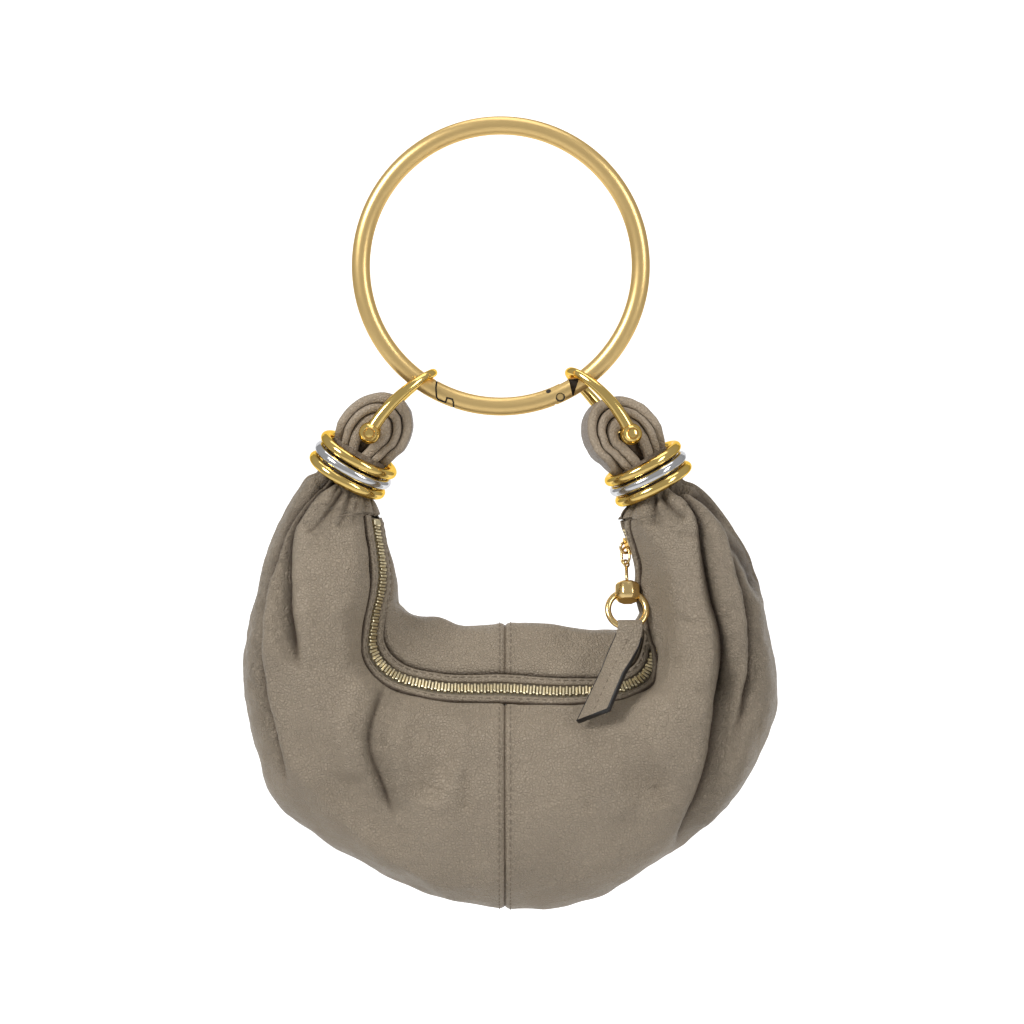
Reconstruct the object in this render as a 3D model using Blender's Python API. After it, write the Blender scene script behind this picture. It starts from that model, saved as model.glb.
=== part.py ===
"""Ring handle bag: a crescent leather bag hanging from a round metal ring handle.

Sizes are in millimetres and angles in degrees until a mesh is made, which is in metres. +Z is up, the
front of the bag looks along -Y, and the origin is the inside top of the ring, where it is carried. The
bag's sections lie in planes through a line along Y at the middle of the hole under the ring, and are told
by their angle round that line.
"""

import math
from collections import namedtuple
from functools import lru_cache

import bmesh
import bpy
import numpy as np
from mathutils import Matrix, Vector

MM = 0.001
GAP = 0.3

# Ring handle, its gate, latch and hinge
HANDLE_INSIDE = 130.1
HANDLE_TUBE = 9.1
HANDLE_SEGMENTS = 52
HANDLE_SIDES = 10
LATCH_ANGLE = 23.3
LATCH_GAP = 0.4
HINGE_ANGLE = 24.5
HINGE_OFFSET = 1.6
HINGE_PIN_DIAMETER = 3.8
HINGE_EAR_RADIUS = 6.1
HINGE_SWEEP = 0.5
TONGUE_THICKNESS = 3.0
TONGUE_RADIUS = 4.2

# Shackles over the ring tube, and their pins
SHACKLE_INSIDE_NECK = 34.93094042
SHACKLE_REACH = 35.6
SHACKLE_BALL = 10.7
SHACKLE_BALL_FACE = 9.4
SHACKLE_SPREAD = 18.5
SHACKLE_BAR_AT_BALL = 6.7
SHACKLE_BAR_AT_CROWN = 4.3
SHACKLE_CURVE = 2.5
SHACKLE_BOW = 3.0
SHACKLE_PIN_DIAMETER = 4.4

# Leather
LEATHER = 2.0
LOOP_DEPTH = 24.6
LOOP_RISE = -0.2
LOOP_SHIFT = 1.0
LOOP_STRETCH = 1.18
LOOP_SKEW = 0.10
LOOP_BASE_LENGTH = 6.0
NECK_DIAMETER = 30.6
NECK_GIRTH = 176 / 30.6

# Slip rings round the necks
SLIP_RING_INSIDE = 32.3
SLIP_RING_TUBE = 5.1
SLIP_RING_PITCH = 5.7
SLIP_RING_SEGMENTS = 18
SLIP_RING_SIDES = 8

# Body
HOLE_X = 2.05
NECK_DROP = 40.88114496
NECK_OUT = 75.8 / 176
NECK_UP = 45.15 / 176
BODY_RADIUS = 176.0
BODY_HALF_DEPTH = 45.0
BACK_STATIONS = 10
FRONT_STATIONS = 15

# Zip
TEETH_WIDTH = 5.8
TEETH_HEIGHT = 2.4
TAPE_WIDTH = 9.6
TAPE_THICKNESS = 0.8
FACING_WIDTH = 4.6
FACING_THICKNESS = 1.6
ZIP_START = 167.5
ZIP_END = 371.5
SLIDER_AT = 364.6
SLIDER_LENGTH = 9.0
SLIDER_WIDTH = 6.6
SLIDER_HEIGHT = 2.0
END_STOP_LENGTH = 4.4

# Zip pull
LINK_LENGTH = 10.0
LINK_WIDTH = 7.0
LINK_WIRE = 1.3
PULL_ROD_DIAMETER = 1.6
PULL_ROD_LENGTH = 12.4
SWIVEL_WIDTH = 12.5
SWIVEL_HEIGHT = 10.0
PULL_RING_OUTSIDE = 22.0
PULL_RING_WIRE = 3.1
TAB_LENGTH = 51.0
TAB_WIDTH = 8.5
TAB_LAYER = 1.5
TAB_LEAN = 24.0
TAB_TURN = 30.0

HANDLE_RADIUS = (HANDLE_INSIDE + HANDLE_TUBE) / 2
HANDLE_Z = -HANDLE_INSIDE / 2
SHACKLE_AT = math.degrees(math.asin((NECK_OUT * BODY_RADIUS - HOLE_X - SHACKLE_INSIDE_NECK) / HANDLE_RADIUS))
SHACKLE_Z = HANDLE_Z - HANDLE_RADIUS * math.cos(math.radians(SHACKLE_AT))
HOLE_Z = SHACKLE_Z - NECK_DROP - NECK_UP * BODY_RADIUS
FACING_INNER_EDGE = TEETH_WIDTH / 2 + 3 * GAP
FACING_OUTER_EDGE = FACING_INNER_EDGE + FACING_WIDTH
BODY_EDGE = FACING_OUTER_EDGE + 2 * GAP

# The angle of each section, its radii as shares of BODY_RADIUS, its depth as a share of BODY_HALF_DEPTH,
# and where the zip and the inner crest sit: zip_in as a share of the way from the inner to the outer
# radius, zip_back and crest_back as shares of the half depth, front negative.
Section = namedtuple("Section", "angle inner outer depth zip_in zip_back crest_back")
SECTIONS = [
    Section(149.0, 0.419, 0.585, 0.325, 0.02, -0.20, 0.05),
    Section(155.8, 0.419, 0.585, 0.325, 0.02, -0.22, 0.05),
    Section(158.2, 0.396, 0.604, 0.400, 0.03, -0.25, 0.05),
    Section(162.0, 0.375, 0.616, 0.480, 0.04, -0.28, 0.05),
    Section(168.0, 0.353, 0.636, 0.590, 0.05, -0.30, 0.08),
    Section(176.0, 0.334, 0.664, 0.690, 0.05, -0.32, 0.10),
    Section(186.0, 0.318, 0.702, 0.790, 0.07, -0.33, 0.15),
    Section(196.0, 0.313, 0.762, 0.860, 0.11, -0.34, 0.20),
    Section(206.0, 0.322, 0.825, 0.910, 0.17, -0.35, 0.26),
    Section(215.0, 0.300, 0.880, 0.950, 0.265, -0.36, 0.30),
    Section(225.0, 0.264, 0.936, 0.975, 0.290, -0.36, 0.34),
    Section(240.0, 0.238, 0.957, 0.990, 0.252, -0.34, 0.36),
    Section(255.0, 0.211, 0.985, 1.000, 0.225, -0.32, 0.36),
    Section(270.0, 0.202, 1.000, 1.000, 0.213, -0.32, 0.36),
    Section(285.0, 0.213, 1.006, 1.000, 0.225, -0.32, 0.36),
    Section(300.0, 0.241, 0.970, 0.990, 0.268, -0.34, 0.34),
    Section(312.0, 0.286, 0.948, 0.975, 0.315, -0.34, 0.30),
    Section(321.0, 0.345, 0.920, 0.950, 0.300, -0.31, 0.26),
    Section(330.0, 0.405, 0.886, 0.915, 0.190, -0.20, 0.22),
    Section(338.0, 0.415, 0.830, 0.860, 0.085, -0.08, 0.24),
    Section(346.0, 0.398, 0.768, 0.800, 0.030, 0.00, 0.26),
    Section(355.0, 0.378, 0.712, 0.730, 0.015, 0.04, 0.28),
    Section(364.0, 0.360, 0.664, 0.640, 0.010, 0.05, 0.28),
    Section(372.0, 0.346, 0.620, 0.540, 0.010, 0.03, 0.24),
    Section(377.5, 0.346, 0.594, 0.455, 0.015, 0.00, 0.14),
    Section(380.5, 0.358, 0.576, 0.400, 0.020, -0.10, 0.06),
    Section(383.0, 0.383, 0.553, 0.330, 0.020, -0.10, 0.05),
    Section(389.6, 0.383, 0.553, 0.330, 0.020, -0.10, 0.05),
]
SECTIONS_LEFT = [
    149.9, 152.5, 155.6, 158.2, 160.6, 163.0, 167.5, 173, 179, 186,
    194, 202, 210, 218, 227, 237, 248, 259, 270,
]
SECTIONS_RIGHT = [
    387.9, 385.6, 383.2, 380.9, 378.8, 376.4, 371.5, 365.5, 358, 350,
    342, 334.5, 327, 319, 310, 300, 290, 280, 270,
]
OPEN_FROM = 162.9
OPEN_TO = 376.5

# Creases and soft hollows pressed into the body, each a curve through three points seen from the front,
# measured from the middle of the hole as shares of BODY_RADIUS; depth and width in millimetres.
Fold = namedtuple("Fold", "side x0 z0 x1 z1 x2 z2 depth width")
FOLDS = [
    Fold("front", -0.60, 0.16, -0.688, -0.25, -0.60, -0.70, 4.0, 6.0),
    Fold("front", -0.55, 0.16, -0.606, -0.03, -0.585, -0.20, 3.5, 6.0),
    Fold("front", 0.47, 0.17, 0.563, -0.08, 0.608, -0.37, 6.0, 7.5),
    Fold("front", 0.608, -0.37, 0.575, -0.57, 0.48, -0.80, 5.0, 8.0),
    Fold("front", 0.53, 0.17, 0.645, -0.06, 0.72, -0.30, 3.5, 6.0),
    Fold("front", -0.22, -0.44, -0.19, -0.56, -0.15, -0.66, 3.5, 12.0),
    Fold("front", 0.23, -0.45, 0.32, -0.56, 0.43, -0.67, 3.0, 11.0),
    Fold("back", -0.56, 0.16, -0.64, -0.20, -0.56, -0.60, 4.0, 8.0),
    Fold("back", 0.50, 0.17, 0.60, -0.20, 0.55, -0.60, 4.5, 8.0),
    Fold("back", -0.24, -0.42, -0.20, -0.56, -0.12, -0.72, 3.0, 12.0),
    Fold("back", 0.20, -0.42, 0.26, -0.56, 0.34, -0.70, 3.0, 12.0),
]

# Leather layers folded round each shackle pin, outermost first
Layer = namedtuple("Layer", "radius thickness leg_in leg_thickness leg_depth")
LAYERS = [
    Layer(15.4, 4.1, 12.2, 4.1, 9.0),
    Layer(11.1, 3.6, 8.0, 3.6, 19.0),
    Layer(6.2, 5.2, 3.4, 4.6, 23.0),
]

# How each side differs: sign of x, shackle direction from vertical, shackle turn, middle slip ring's
# centre as shares of BODY_RADIUS out and up from the middle of the hole, slope of the slip rings seen
# from the front and their tip toward the front.
Side = namedtuple("Side", "name sign lean turn out up slope tip")
SIDES = [
    Side("left", -1, 46.0, 0.0, NECK_OUT, NECK_UP, 30.0, 9.0),
    Side("right", 1, 40.5, -9.0, 71.45 / 176, 40.8 / 176, 28.0, 5.0),
]

COLOURS = {
    "leather": (0.352, 0.292, 0.228),
    "gold": (0.72, 0.50, 0.20),
    "pale_gold": (0.74, 0.62, 0.38),
    "steel": (0.62, 0.62, 0.62),
    "tape": (0.27, 0.23, 0.17),
}


def rad(angle):
    return math.radians(angle)


def unit(vector):
    vector = np.asarray(vector, float)
    return vector / np.linalg.norm(vector)


def material(name, colour, metallic, roughness):
    made = bpy.data.materials.new(name)
    made.use_nodes = True
    shader = made.node_tree.nodes["Principled BSDF"]
    shader.inputs["Base Color"].default_value = (*colour, 1.0)
    shader.inputs["Metallic"].default_value = metallic
    shader.inputs["Roughness"].default_value = roughness
    return made


def finish(name, points, faces, colour):
    """An object from points in millimetres, its faces turned outward."""
    mesh = bpy.data.meshes.new(name)
    mesh.from_pydata([Vector(p) * MM for p in points], [], faces)
    shape = bmesh.new()
    shape.from_mesh(mesh)
    bmesh.ops.recalc_face_normals(shape, faces=shape.faces)
    shape.to_mesh(mesh)
    shape.free()
    made = bpy.data.objects.new(name, mesh)
    bpy.context.collection.objects.link(made)
    metal = colour in ("gold", "pale_gold", "steel")
    made.data.materials.append(material(name, COLOURS[colour], float(metal), 0.25 if metal else 0.6))
    mesh.shade_smooth()
    mesh.set_sharp_from_angle(angle=rad(40))
    return made


def combine(target, other, operation):
    """One Boolean step on target; the other shape stays in the file as a hidden tool."""
    step = target.modifiers.new(operation.lower(), "BOOLEAN")
    step.operation = operation
    step.solver = "EXACT"
    step.object = other
    other.hide_render = True
    other.display_type = "WIRE"
    return target


def ring_faces(rows, sides, closed):
    """Faces between rows of points that go round, with end caps where the rows don't close."""
    faces = []
    for i in range(rows if closed else rows - 1):
        for j in range(sides):
            a = i * sides + j
            b = i * sides + (j + 1) % sides
            c = ((i + 1) % rows) * sides + (j + 1) % sides
            d = ((i + 1) % rows) * sides + j
            faces.append((a, b, c, d))
    if not closed:
        faces.append(tuple(range(sides)))
        faces.append(tuple((rows - 1) * sides + j for j in range(sides)))
    return faces


def swept(name, path, across, up, outlines, colour, closed=False):
    """A solid along a path: each row places its outline by the row's two directions."""
    points = []
    for place, a, b, outline in zip(path, across, up, outlines):
        points += [np.asarray(place) + u * np.asarray(a) + v * np.asarray(b) for u, v in outline]
    return finish(name, points, ring_faces(len(path), len(outlines[0]), closed), colour)


def circle(radius, sides):
    turns = [2 * math.pi * k / sides for k in range(sides)]
    return [(radius * math.cos(a), radius * math.sin(a)) for a in turns]


def torus(name, centre, normal, start, radius, wire, segments, sides, colour):
    """A closed ring of round wire; start is the direction of its first point."""
    normal = unit(normal)
    first = unit(np.asarray(start) - np.dot(start, normal) * normal)
    second = np.cross(normal, first)
    path = []
    out = []
    for k in range(segments):
        angle = 2 * math.pi * k / segments
        direction = math.cos(angle) * first + math.sin(angle) * second
        path.append(np.asarray(centre) + radius * direction)
        out.append(direction)
    outlines = [circle(wire / 2, sides)] * segments
    return swept(name, path, out, [normal] * segments, outlines, colour, closed=True)


def cylinder(name, start, end, radius, sides, colour):
    axis = unit(np.asarray(end) - np.asarray(start))
    first = unit(np.cross(axis, (0.3, 0.2, 1.0)))
    second = np.cross(axis, first)
    return swept(name, [start, end], [first] * 2, [second] * 2, [circle(radius, sides)] * 2, colour)


def prism(name, outline, front, back, colour="gold"):
    """A shape seen from the front, x and z, between two depths."""
    count = len(outline)
    points = [(x, front, z) for x, z in outline] + [(x, back, z) for x, z in outline]
    faces = [tuple(range(count)), tuple(range(count, 2 * count))]
    faces += [(k, (k + 1) % count, count + (k + 1) % count, count + k) for k in range(count)]
    return finish(name, points, faces, colour)


def offset_line(line, distance):
    """The line moved sideways, each corner along its mitre."""
    line = np.asarray(line, float)
    moved = []
    for k in range(len(line)):
        before = unit(line[k] - line[k - 1]) if k else unit(line[1] - line[0])
        after = unit(line[k + 1] - line[k]) if k < len(line) - 1 else before
        side_before = np.array([-before[1], before[0]])
        side_after = np.array([-after[1], after[0]])
        mitre = unit(side_before + side_after)
        moved.append(line[k] + mitre * distance / max(0.5, np.dot(mitre, side_after)))
    return [tuple(p) for p in moved]


def ring_point(angle, offset=0.0):
    """A point by its angle from straight under the ring's centre, positive to the right."""
    radius = HANDLE_RADIUS + offset
    return np.array([radius * math.sin(rad(angle)), HANDLE_Z - radius * math.cos(rad(angle))])


# Ring handle and gate


def latch_line(distance):
    """The cut between the gate's hook and the fixed nub, from inside the ring to outside it."""
    steps = [
        (-6.5, -7.3), (-1.5, -5.8), (2.6, -3.7), (3.5, -2.5), (3.3, 1.5),
        (0.9, 1.2), (0.5, 3.9), (1.6, 5.0), (6.5, 7.2),
    ]
    outward = np.array([-math.sin(rad(LATCH_ANGLE)), -math.cos(rad(LATCH_ANGLE))])
    along = np.array([math.cos(rad(LATCH_ANGLE)), -math.sin(rad(LATCH_ANGLE))])
    centre = ring_point(-LATCH_ANGLE)
    return offset_line([centre + r * outward + t * along for r, t in steps], distance)


def hinge_line(radius, first_angle, first_reach, top_angle):
    """The hinge end of the gate or of the ring: a straight edge, then an arc round the pin."""
    pin = hinge_centre()
    angles = [first_angle] + [top_angle - k * (top_angle + 75) / 6 for k in range(7)]
    reaches = [first_reach] + [radius] * 7
    ways = [np.array([math.cos(rad(a)), math.sin(rad(a))]) for a in angles]
    return [pin + reach * way for way, reach in zip(ways, reaches)]


def hinge_centre():
    return ring_point(HINGE_ANGLE, HINGE_OFFSET)


def gate_outline(latch, hinge):
    """A closed outline: down the latch, along the outside, up the hinge and back along the inside."""
    outside = [ring_point(a, 9.0) for a in (-12, -4, 4, 12)]
    inside = [ring_point(a, -9.0) for a in (20, 12, 4, -4, -12, -20)]
    return [tuple(p) for p in list(latch) + outside + list(hinge)[::-1] + inside]


def build_handle():
    centre = (0.0, 0.0, HANDLE_Z)
    depth = HANDLE_TUBE
    pin_at = hinge_centre()
    along = np.array([math.cos(rad(HINGE_ANGLE)), math.sin(rad(HINGE_ANGLE))])
    away = np.array([-along[1], along[0]])
    pin_hole = HINGE_PIN_DIAMETER / 2 + GAP
    size = (HANDLE_RADIUS, HANDLE_TUBE, HANDLE_SEGMENTS, HANDLE_SIDES)

    def tongue_shape(radius, reach, flare, name, half):
        turns = np.linspace(rad(HINGE_ANGLE + 90), rad(HINGE_ANGLE + 270), 9)
        arc = [pin_at + radius * np.array([math.cos(a), math.sin(a)]) for a in turns]
        wide = radius + flare * reach
        end = [pin_at + reach * along - wide * away, pin_at + reach * along + wide * away]
        return prism(name, [tuple(p) for p in arc + end], -half, half)

    def cross_pin(name, reach, radius):
        front = (pin_at[0], -reach, pin_at[1])
        back = (pin_at[0], reach, pin_at[1])
        return cylinder(name, front, back, radius, 16, "gold")

    handle = torus("ring_handle", centre, (0, 1, 0), (1, 0, 0), *size, "gold")
    gap_line = hinge_line(HINGE_EAR_RADIUS + LATCH_GAP, 44.0, 13.0, 10.0)
    opening = prism("cut_opening", gate_outline(latch_line(-LATCH_GAP / 2), gap_line), -depth, depth)
    tongue = tongue_shape(TONGUE_RADIUS, 14.0, 0.0, "cut_tongue", TONGUE_THICKNESS / 2)
    combine(opening, tongue, "DIFFERENCE")
    combine(handle, opening, "DIFFERENCE")
    hole = cross_pin("cut_pin_hole", depth, pin_hole)
    combine(handle, hole, "DIFFERENCE")

    gate = torus("ring_gate", centre, (0, 1, 0), (1, 0, 0), *size, "gold")
    ear_line = hinge_line(HINGE_EAR_RADIUS, 73.0, 12.0, 18.0)
    keep = prism("keep_gate", gate_outline(latch_line(LATCH_GAP / 2), ear_line), -depth, depth)
    slot = tongue_shape(TONGUE_RADIUS + 0.6, 20.0, HINGE_SWEEP, "cut_slot", TONGUE_THICKNESS / 2 + GAP)
    combine(keep, slot, "DIFFERENCE")
    combine(gate, keep, "INTERSECT")
    combine(gate, hole, "DIFFERENCE")

    reach = math.sqrt((HANDLE_TUBE / 2) ** 2 - HINGE_OFFSET**2)
    pin = cross_pin("gate_pin", reach, HINGE_PIN_DIAMETER / 2)
    return handle, gate, pin


# Shackles, loops and slip rings


def neck_ring_place(side):
    return np.array([HOLE_X + side.sign * side.out * BODY_RADIUS, 0.0, HOLE_Z + side.up * BODY_RADIUS])


def shackle_frame(side):
    """The middle of the shackle's pin and its ways: toward the crown, along the pin, across both."""
    lean = rad(side.lean)
    crown = np.array([-side.sign * math.sin(lean), 0.0, math.cos(lean)])
    crossing = ring_point(side.sign * SHACKLE_AT)
    middle = np.array([crossing[0], 0.0, crossing[1]]) - SHACKLE_REACH * crown
    turn = Matrix.Rotation(rad(-side.sign * side.turn), 3, Vector(crown))
    pin = np.array(turn @ Vector((0.0, 1.0, 0.0)))
    return middle, crown, pin, np.cross(crown, pin)


def build_shackle(side):
    middle, crown, pin, across = shackle_frame(side)
    top = SHACKLE_REACH + HANDLE_TUBE / 2 + GAP + 0.1 + SHACKLE_BAR_AT_CROWN / 2
    path = []
    radii = []
    for k in range(17):
        angle = math.pi * k / 16
        high = top * math.copysign(abs(math.sin(angle)) ** (2 / SHACKLE_CURVE), 1)
        out = SHACKLE_SPREAD * math.copysign(abs(math.cos(angle)) ** (2 / SHACKLE_CURVE), math.cos(angle))
        high = max(high, 3.3)
        share = min(1.0, high / top)
        bow = -side.sign * SHACKLE_BOW * 4 * share * (1 - share)
        path.append(middle + high * crown - out * pin + bow * across)
        radii.append((SHACKLE_BAR_AT_BALL + (SHACKLE_BAR_AT_CROWN - SHACKLE_BAR_AT_BALL) * share) / 2)
    forward = [unit(path[min(k + 1, 16)] - path[max(k - 1, 0)]) for k in range(17)]
    forward[0] = crown
    forward[16] = -crown
    outlines = [circle(r, 8) for r in radii]
    up = [np.cross(f, across) for f in forward]
    bar = swept(f"shackle_{side.name}", path, [across] * 17, up, outlines, "gold")
    hole = SHACKLE_PIN_DIAMETER / 2 + GAP
    face = SHACKLE_BALL_FACE / 2
    ball = SHACKLE_BALL / 2
    for end in (-1, 1):
        half = [(hole, face), (0.62 * ball, face), (0.88 * ball, 0.52 * ball), (ball, 0.0)]
        rows = [(r, -y) for r, y in half[:3]] + half[::-1]
        centre = middle + end * SHACKLE_SPREAD * pin
        count = 12
        angles = [2 * math.pi * k / count for k in range(count)]
        directions = [math.cos(a) * crown + math.sin(a) * across for a in angles]
        outline = [(r, end * y) for r, y in rows]
        name = f"eye_{side.name}_{end + 1}"
        outlines = [outline] * count
        eye = swept(name, [centre] * count, directions, [pin] * count, outlines, "gold", closed=True)
        combine(bar, eye, "UNION")
    reach = SHACKLE_SPREAD + face - GAP
    ends = (middle - reach * pin, middle + reach * pin)
    rod = cylinder(f"shackle_pin_{side.name}", *ends, SHACKLE_PIN_DIAMETER / 2, 14, "gold")
    return bar, rod


def loop_frame(side):
    middle, _, pin, _ = shackle_frame(side)
    ring = neck_ring_place(side)
    up = unit(middle - ring)
    top = middle + LOOP_RISE * up
    depth = unit(pin - np.dot(pin, up) * up)
    return top, up, depth, np.cross(depth, up), float(np.linalg.norm(top - ring))


def build_loop(side):
    """Layers of leather folded round the pin and joined in a base inside the slip rings."""
    top, up, depth, across, length = loop_frame(side)
    base_top = -(length - LOOP_BASE_LENGTH - 2 * GAP)
    base_end = -(length - 2 * GAP)
    legs = (base_top - 2.0, 0.55 * base_top, 0.25 * base_top)
    loop = None
    for number, layer in enumerate(LAYERS):
        places = []
        outs = []
        sizes = []
        for share, q in zip((1.0, 0.8, 0.35), legs):
            places.append((layer.radius + (layer.leg_in - layer.radius) * share, q))
            outs.append((1.0, 0.0))
            depth_here = LOOP_DEPTH + (layer.leg_depth - LOOP_DEPTH) * share
            thickness = layer.thickness + (layer.leg_thickness - layer.thickness) * share
            sizes.append((depth_here / 2, thickness / 2))
        for k in range(7):
            angle = math.pi * k / 6
            out = np.array([math.cos(angle), LOOP_STRETCH * math.sin(angle)])
            places.append(tuple(layer.radius * out))
            outs.append(tuple(out))
            sizes.append((LOOP_DEPTH / 2, layer.thickness / 2))
        for k in (2, 1, 0):
            places.append((-places[k][0], places[k][1]))
            outs.append((-1.0, 0.0))
            sizes.append(sizes[k])
        inward = -side.sign * np.array([1.0, 0.0, 0.0])
        path = [top + p * across + q * up for p, q in places]
        path = [place + (LOOP_SHIFT + LOOP_SKEW * q) * inward * (q > -1) for place, (_, q) in zip(path, places)]
        out = [u * across + v * up for u, v in outs]
        outlines = []
        for half, t in sizes:
            top_edge = [(-t, half - 1.3), (0.0, half), (t, half - 1.3)]
            outlines.append(top_edge + [(-x, -y) for x, y in top_edge])
        name = f"layer_{side.name}_{number}" if number else f"end_loop_{side.name}"
        strip = swept(name, path, out, [depth] * len(path), outlines, "leather")
        loop = combine(loop, strip, "UNION") if loop else strip
    wide = NECK_DIAMETER / 2 - 0.8
    deep = NECK_DIAMETER / 2 - 2.0
    outline = [(wide * c, deep * s) for c, s in circle(1.0, 16)]
    ends = [top + base_top * up, top + base_end * up]
    base = swept(f"base_{side.name}", ends, [across] * 2, [depth] * 2, [outline] * 2, "leather")
    return combine(loop, base, "UNION")


def build_slip_rings(side):
    slope = rad(side.slope)
    tip = rad(side.tip)
    plane = np.array([-side.sign * math.cos(slope), 0.0, -math.sin(slope)])
    flat = np.array([-side.sign * math.sin(slope), 0.0, math.cos(slope)])
    normal = math.cos(tip) * flat - math.sin(tip) * np.array([0.0, 1.0, 0.0])
    middle = neck_ring_place(side)
    radius = (SLIP_RING_INSIDE + SLIP_RING_TUBE) / 2
    rings = []
    for step, (place, colour) in enumerate((("upper", "gold"), ("middle", "steel"), ("lower", "gold"))):
        centre = middle + (1 - step) * SLIP_RING_PITCH * flat / math.cos(tip)
        name = f"{side.name}_ring_{place}"
        size = (radius, SLIP_RING_TUBE, SLIP_RING_SEGMENTS, SLIP_RING_SIDES)
        rings.append(torus(name, centre, normal, plane, *size, colour))
    return rings


# Body sections


def curve_value(xs, ys, x):
    """A smooth curve through the points of a table, read at x."""
    k = int(np.clip(np.searchsorted(xs, x) - 1, 0, len(xs) - 2))
    width = xs[k + 1] - xs[k]
    t = (x - xs[k]) / width

    def slope(i):
        low = max(i - 1, 0)
        high = min(i + 1, len(xs) - 1)
        return (ys[high] - ys[low]) / (xs[high] - xs[low])

    a, b, c, d = 2 * t**3 - 3 * t**2 + 1, t**3 - 2 * t**2 + t, 3 * t**2 - 2 * t**3, t**3 - t**2
    return a * ys[k] + b * width * slope(k) + c * ys[k + 1] + d * width * slope(k + 1)


def section_at(angle):
    angles = [s.angle for s in SECTIONS]
    return Section(angle, *[curve_value(angles, [s[k] for s in SECTIONS], angle) for k in range(1, 7)])


class Profile:
    """One closed section of the body, told by the length round it from the zip, toward the back first."""

    def __init__(self, angle):
        s = section_at(angle)
        self.angle = angle
        neck = min(1.0, max(0.0, 1 - (angle - 156.0) / 20, 1 - (383.0 - angle) / 20))
        girth = BODY_RADIUS + (NECK_GIRTH * NECK_DIAMETER - BODY_RADIUS) * neck
        middle = (s.inner + s.outer) / 2 * BODY_RADIUS
        self.inner = middle - (s.outer - s.inner) / 2 * girth
        self.outer = middle + (s.outer - s.inner) / 2 * girth
        half = s.depth * BODY_HALF_DEPTH
        z_in, z_back, crest = s.zip_in, s.zip_back, s.crest_back
        rise = 0.62 - z_in
        shares = [
            (z_in, z_back),
            (0.42 * z_in, 0.45 * z_back + 0.55 * crest - 0.10),
            (0.0, crest),
            (0.15, crest + 0.72 * (1 - crest)),
            (0.50, 1.0),
            (0.84, 0.76),
            (1.0, 0.03),
            (0.90, -0.70),
            (0.62, -1.0),
            (z_in + 0.42 * rise, -0.86),
            (z_in + 0.15 * rise, z_back - 0.42 * (0.86 + z_back)),
        ]
        keys = np.array([(self.inner + u * (self.outer - self.inner), v * half) for u, v in shares])
        count = len(keys)
        points = []
        outer_at = 0
        for k in range(count):
            p0, p1, p2, p3 = (keys[(k + j - 1) % count] for j in range(4))
            if k == 6:
                outer_at = len(points)
            for step in range(16):
                t = step / 16
                bend = (2 * p0 - 5 * p1 + 4 * p2 - p3) * t**2 + (3 * p1 - p0 - 3 * p2 + p3) * t**3
                points.append(0.5 * (2 * p1 + (p2 - p0) * t + bend))
        points.append(keys[0])
        self.points = np.array(points)
        steps = np.linalg.norm(np.diff(self.points, axis=0), axis=1)
        self.lengths = np.concatenate([[0.0], np.cumsum(steps)])
        self.total = float(self.lengths[-1])
        self.outer_length = float(self.lengths[outer_at])

    def place(self, length):
        """The point this far round the section."""
        length %= self.total
        radius = np.interp(length, self.lengths, self.points[:, 0])
        y = np.interp(length, self.lengths, self.points[:, 1])
        turn = rad(self.angle)
        return np.array([HOLE_X + radius * math.cos(turn), y, HOLE_Z + radius * math.sin(turn)])


@lru_cache(maxsize=None)
def profile_at(angle):
    return Profile(angle)


def normal_at(angle, length):
    """The way out of the body at a place, from its neighbours along and round the section."""
    here = profile_at(angle)
    low, high = profile_at(angle - 0.8), profile_at(angle + 0.8)
    along = high.place(length) - low.place(length)
    round_it = here.place(length + 1.0) - here.place(length - 1.0)
    return unit(np.cross(along, round_it))


def fold_depth(point, side):
    """How far the leather is pressed in at a place by every fold on its side."""
    place = np.array([point[0] - HOLE_X, point[2] - HOLE_Z]) / BODY_RADIUS
    total = 0.0
    for fold in FOLDS:
        if fold.side != side:
            continue
        best = None
        for t in np.linspace(0, 1, 25):
            weights = np.array([(1 - t) * (1 - 2 * t), 4 * t * (1 - t), t * (2 * t - 1)])
            spot = weights @ np.array([(fold.x0, fold.z0), (fold.x1, fold.z1), (fold.x2, fold.z2)])
            apart = float(np.linalg.norm(place - spot)) * BODY_RADIUS
            if best is None or apart < best[0]:
                best = (apart, t)
        apart, t = best
        ends = min(1.0, 0.25 + 4 * t, 0.25 + 4 * (1 - t))
        total += fold.depth * ends * math.exp(-((apart / fold.width) ** 2))
    return min(total, 8.0)


def body_rows(angles):
    """Outer points and their outward directions: a row for each section, from its back edge to its front."""
    outer = []
    normals = []
    for angle in angles:
        profile = profile_at(angle)
        edge = BODY_EDGE if OPEN_FROM < angle < OPEN_TO else GAP
        back = np.linspace(edge, profile.outer_length, BACK_STATIONS + 1)
        front = np.linspace(profile.outer_length, profile.total - edge, FRONT_STATIONS + 1)[1:]
        row = []
        ways = []
        for length in list(back) + list(front):
            place = profile.place(length)
            way = normal_at(angle, length)
            from_edge = min(length - edge, profile.total - edge - length)
            side = "back" if length < profile.outer_length else "front"
            press = fold_depth(place, side) * min(1.0, max(0.0, from_edge - 4.0) / 14.0)
            row.append(place - press * way)
            ways.append(way)
        outer.append(row)
        normals.append(ways)
    return np.array(outer), np.array(normals)


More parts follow.
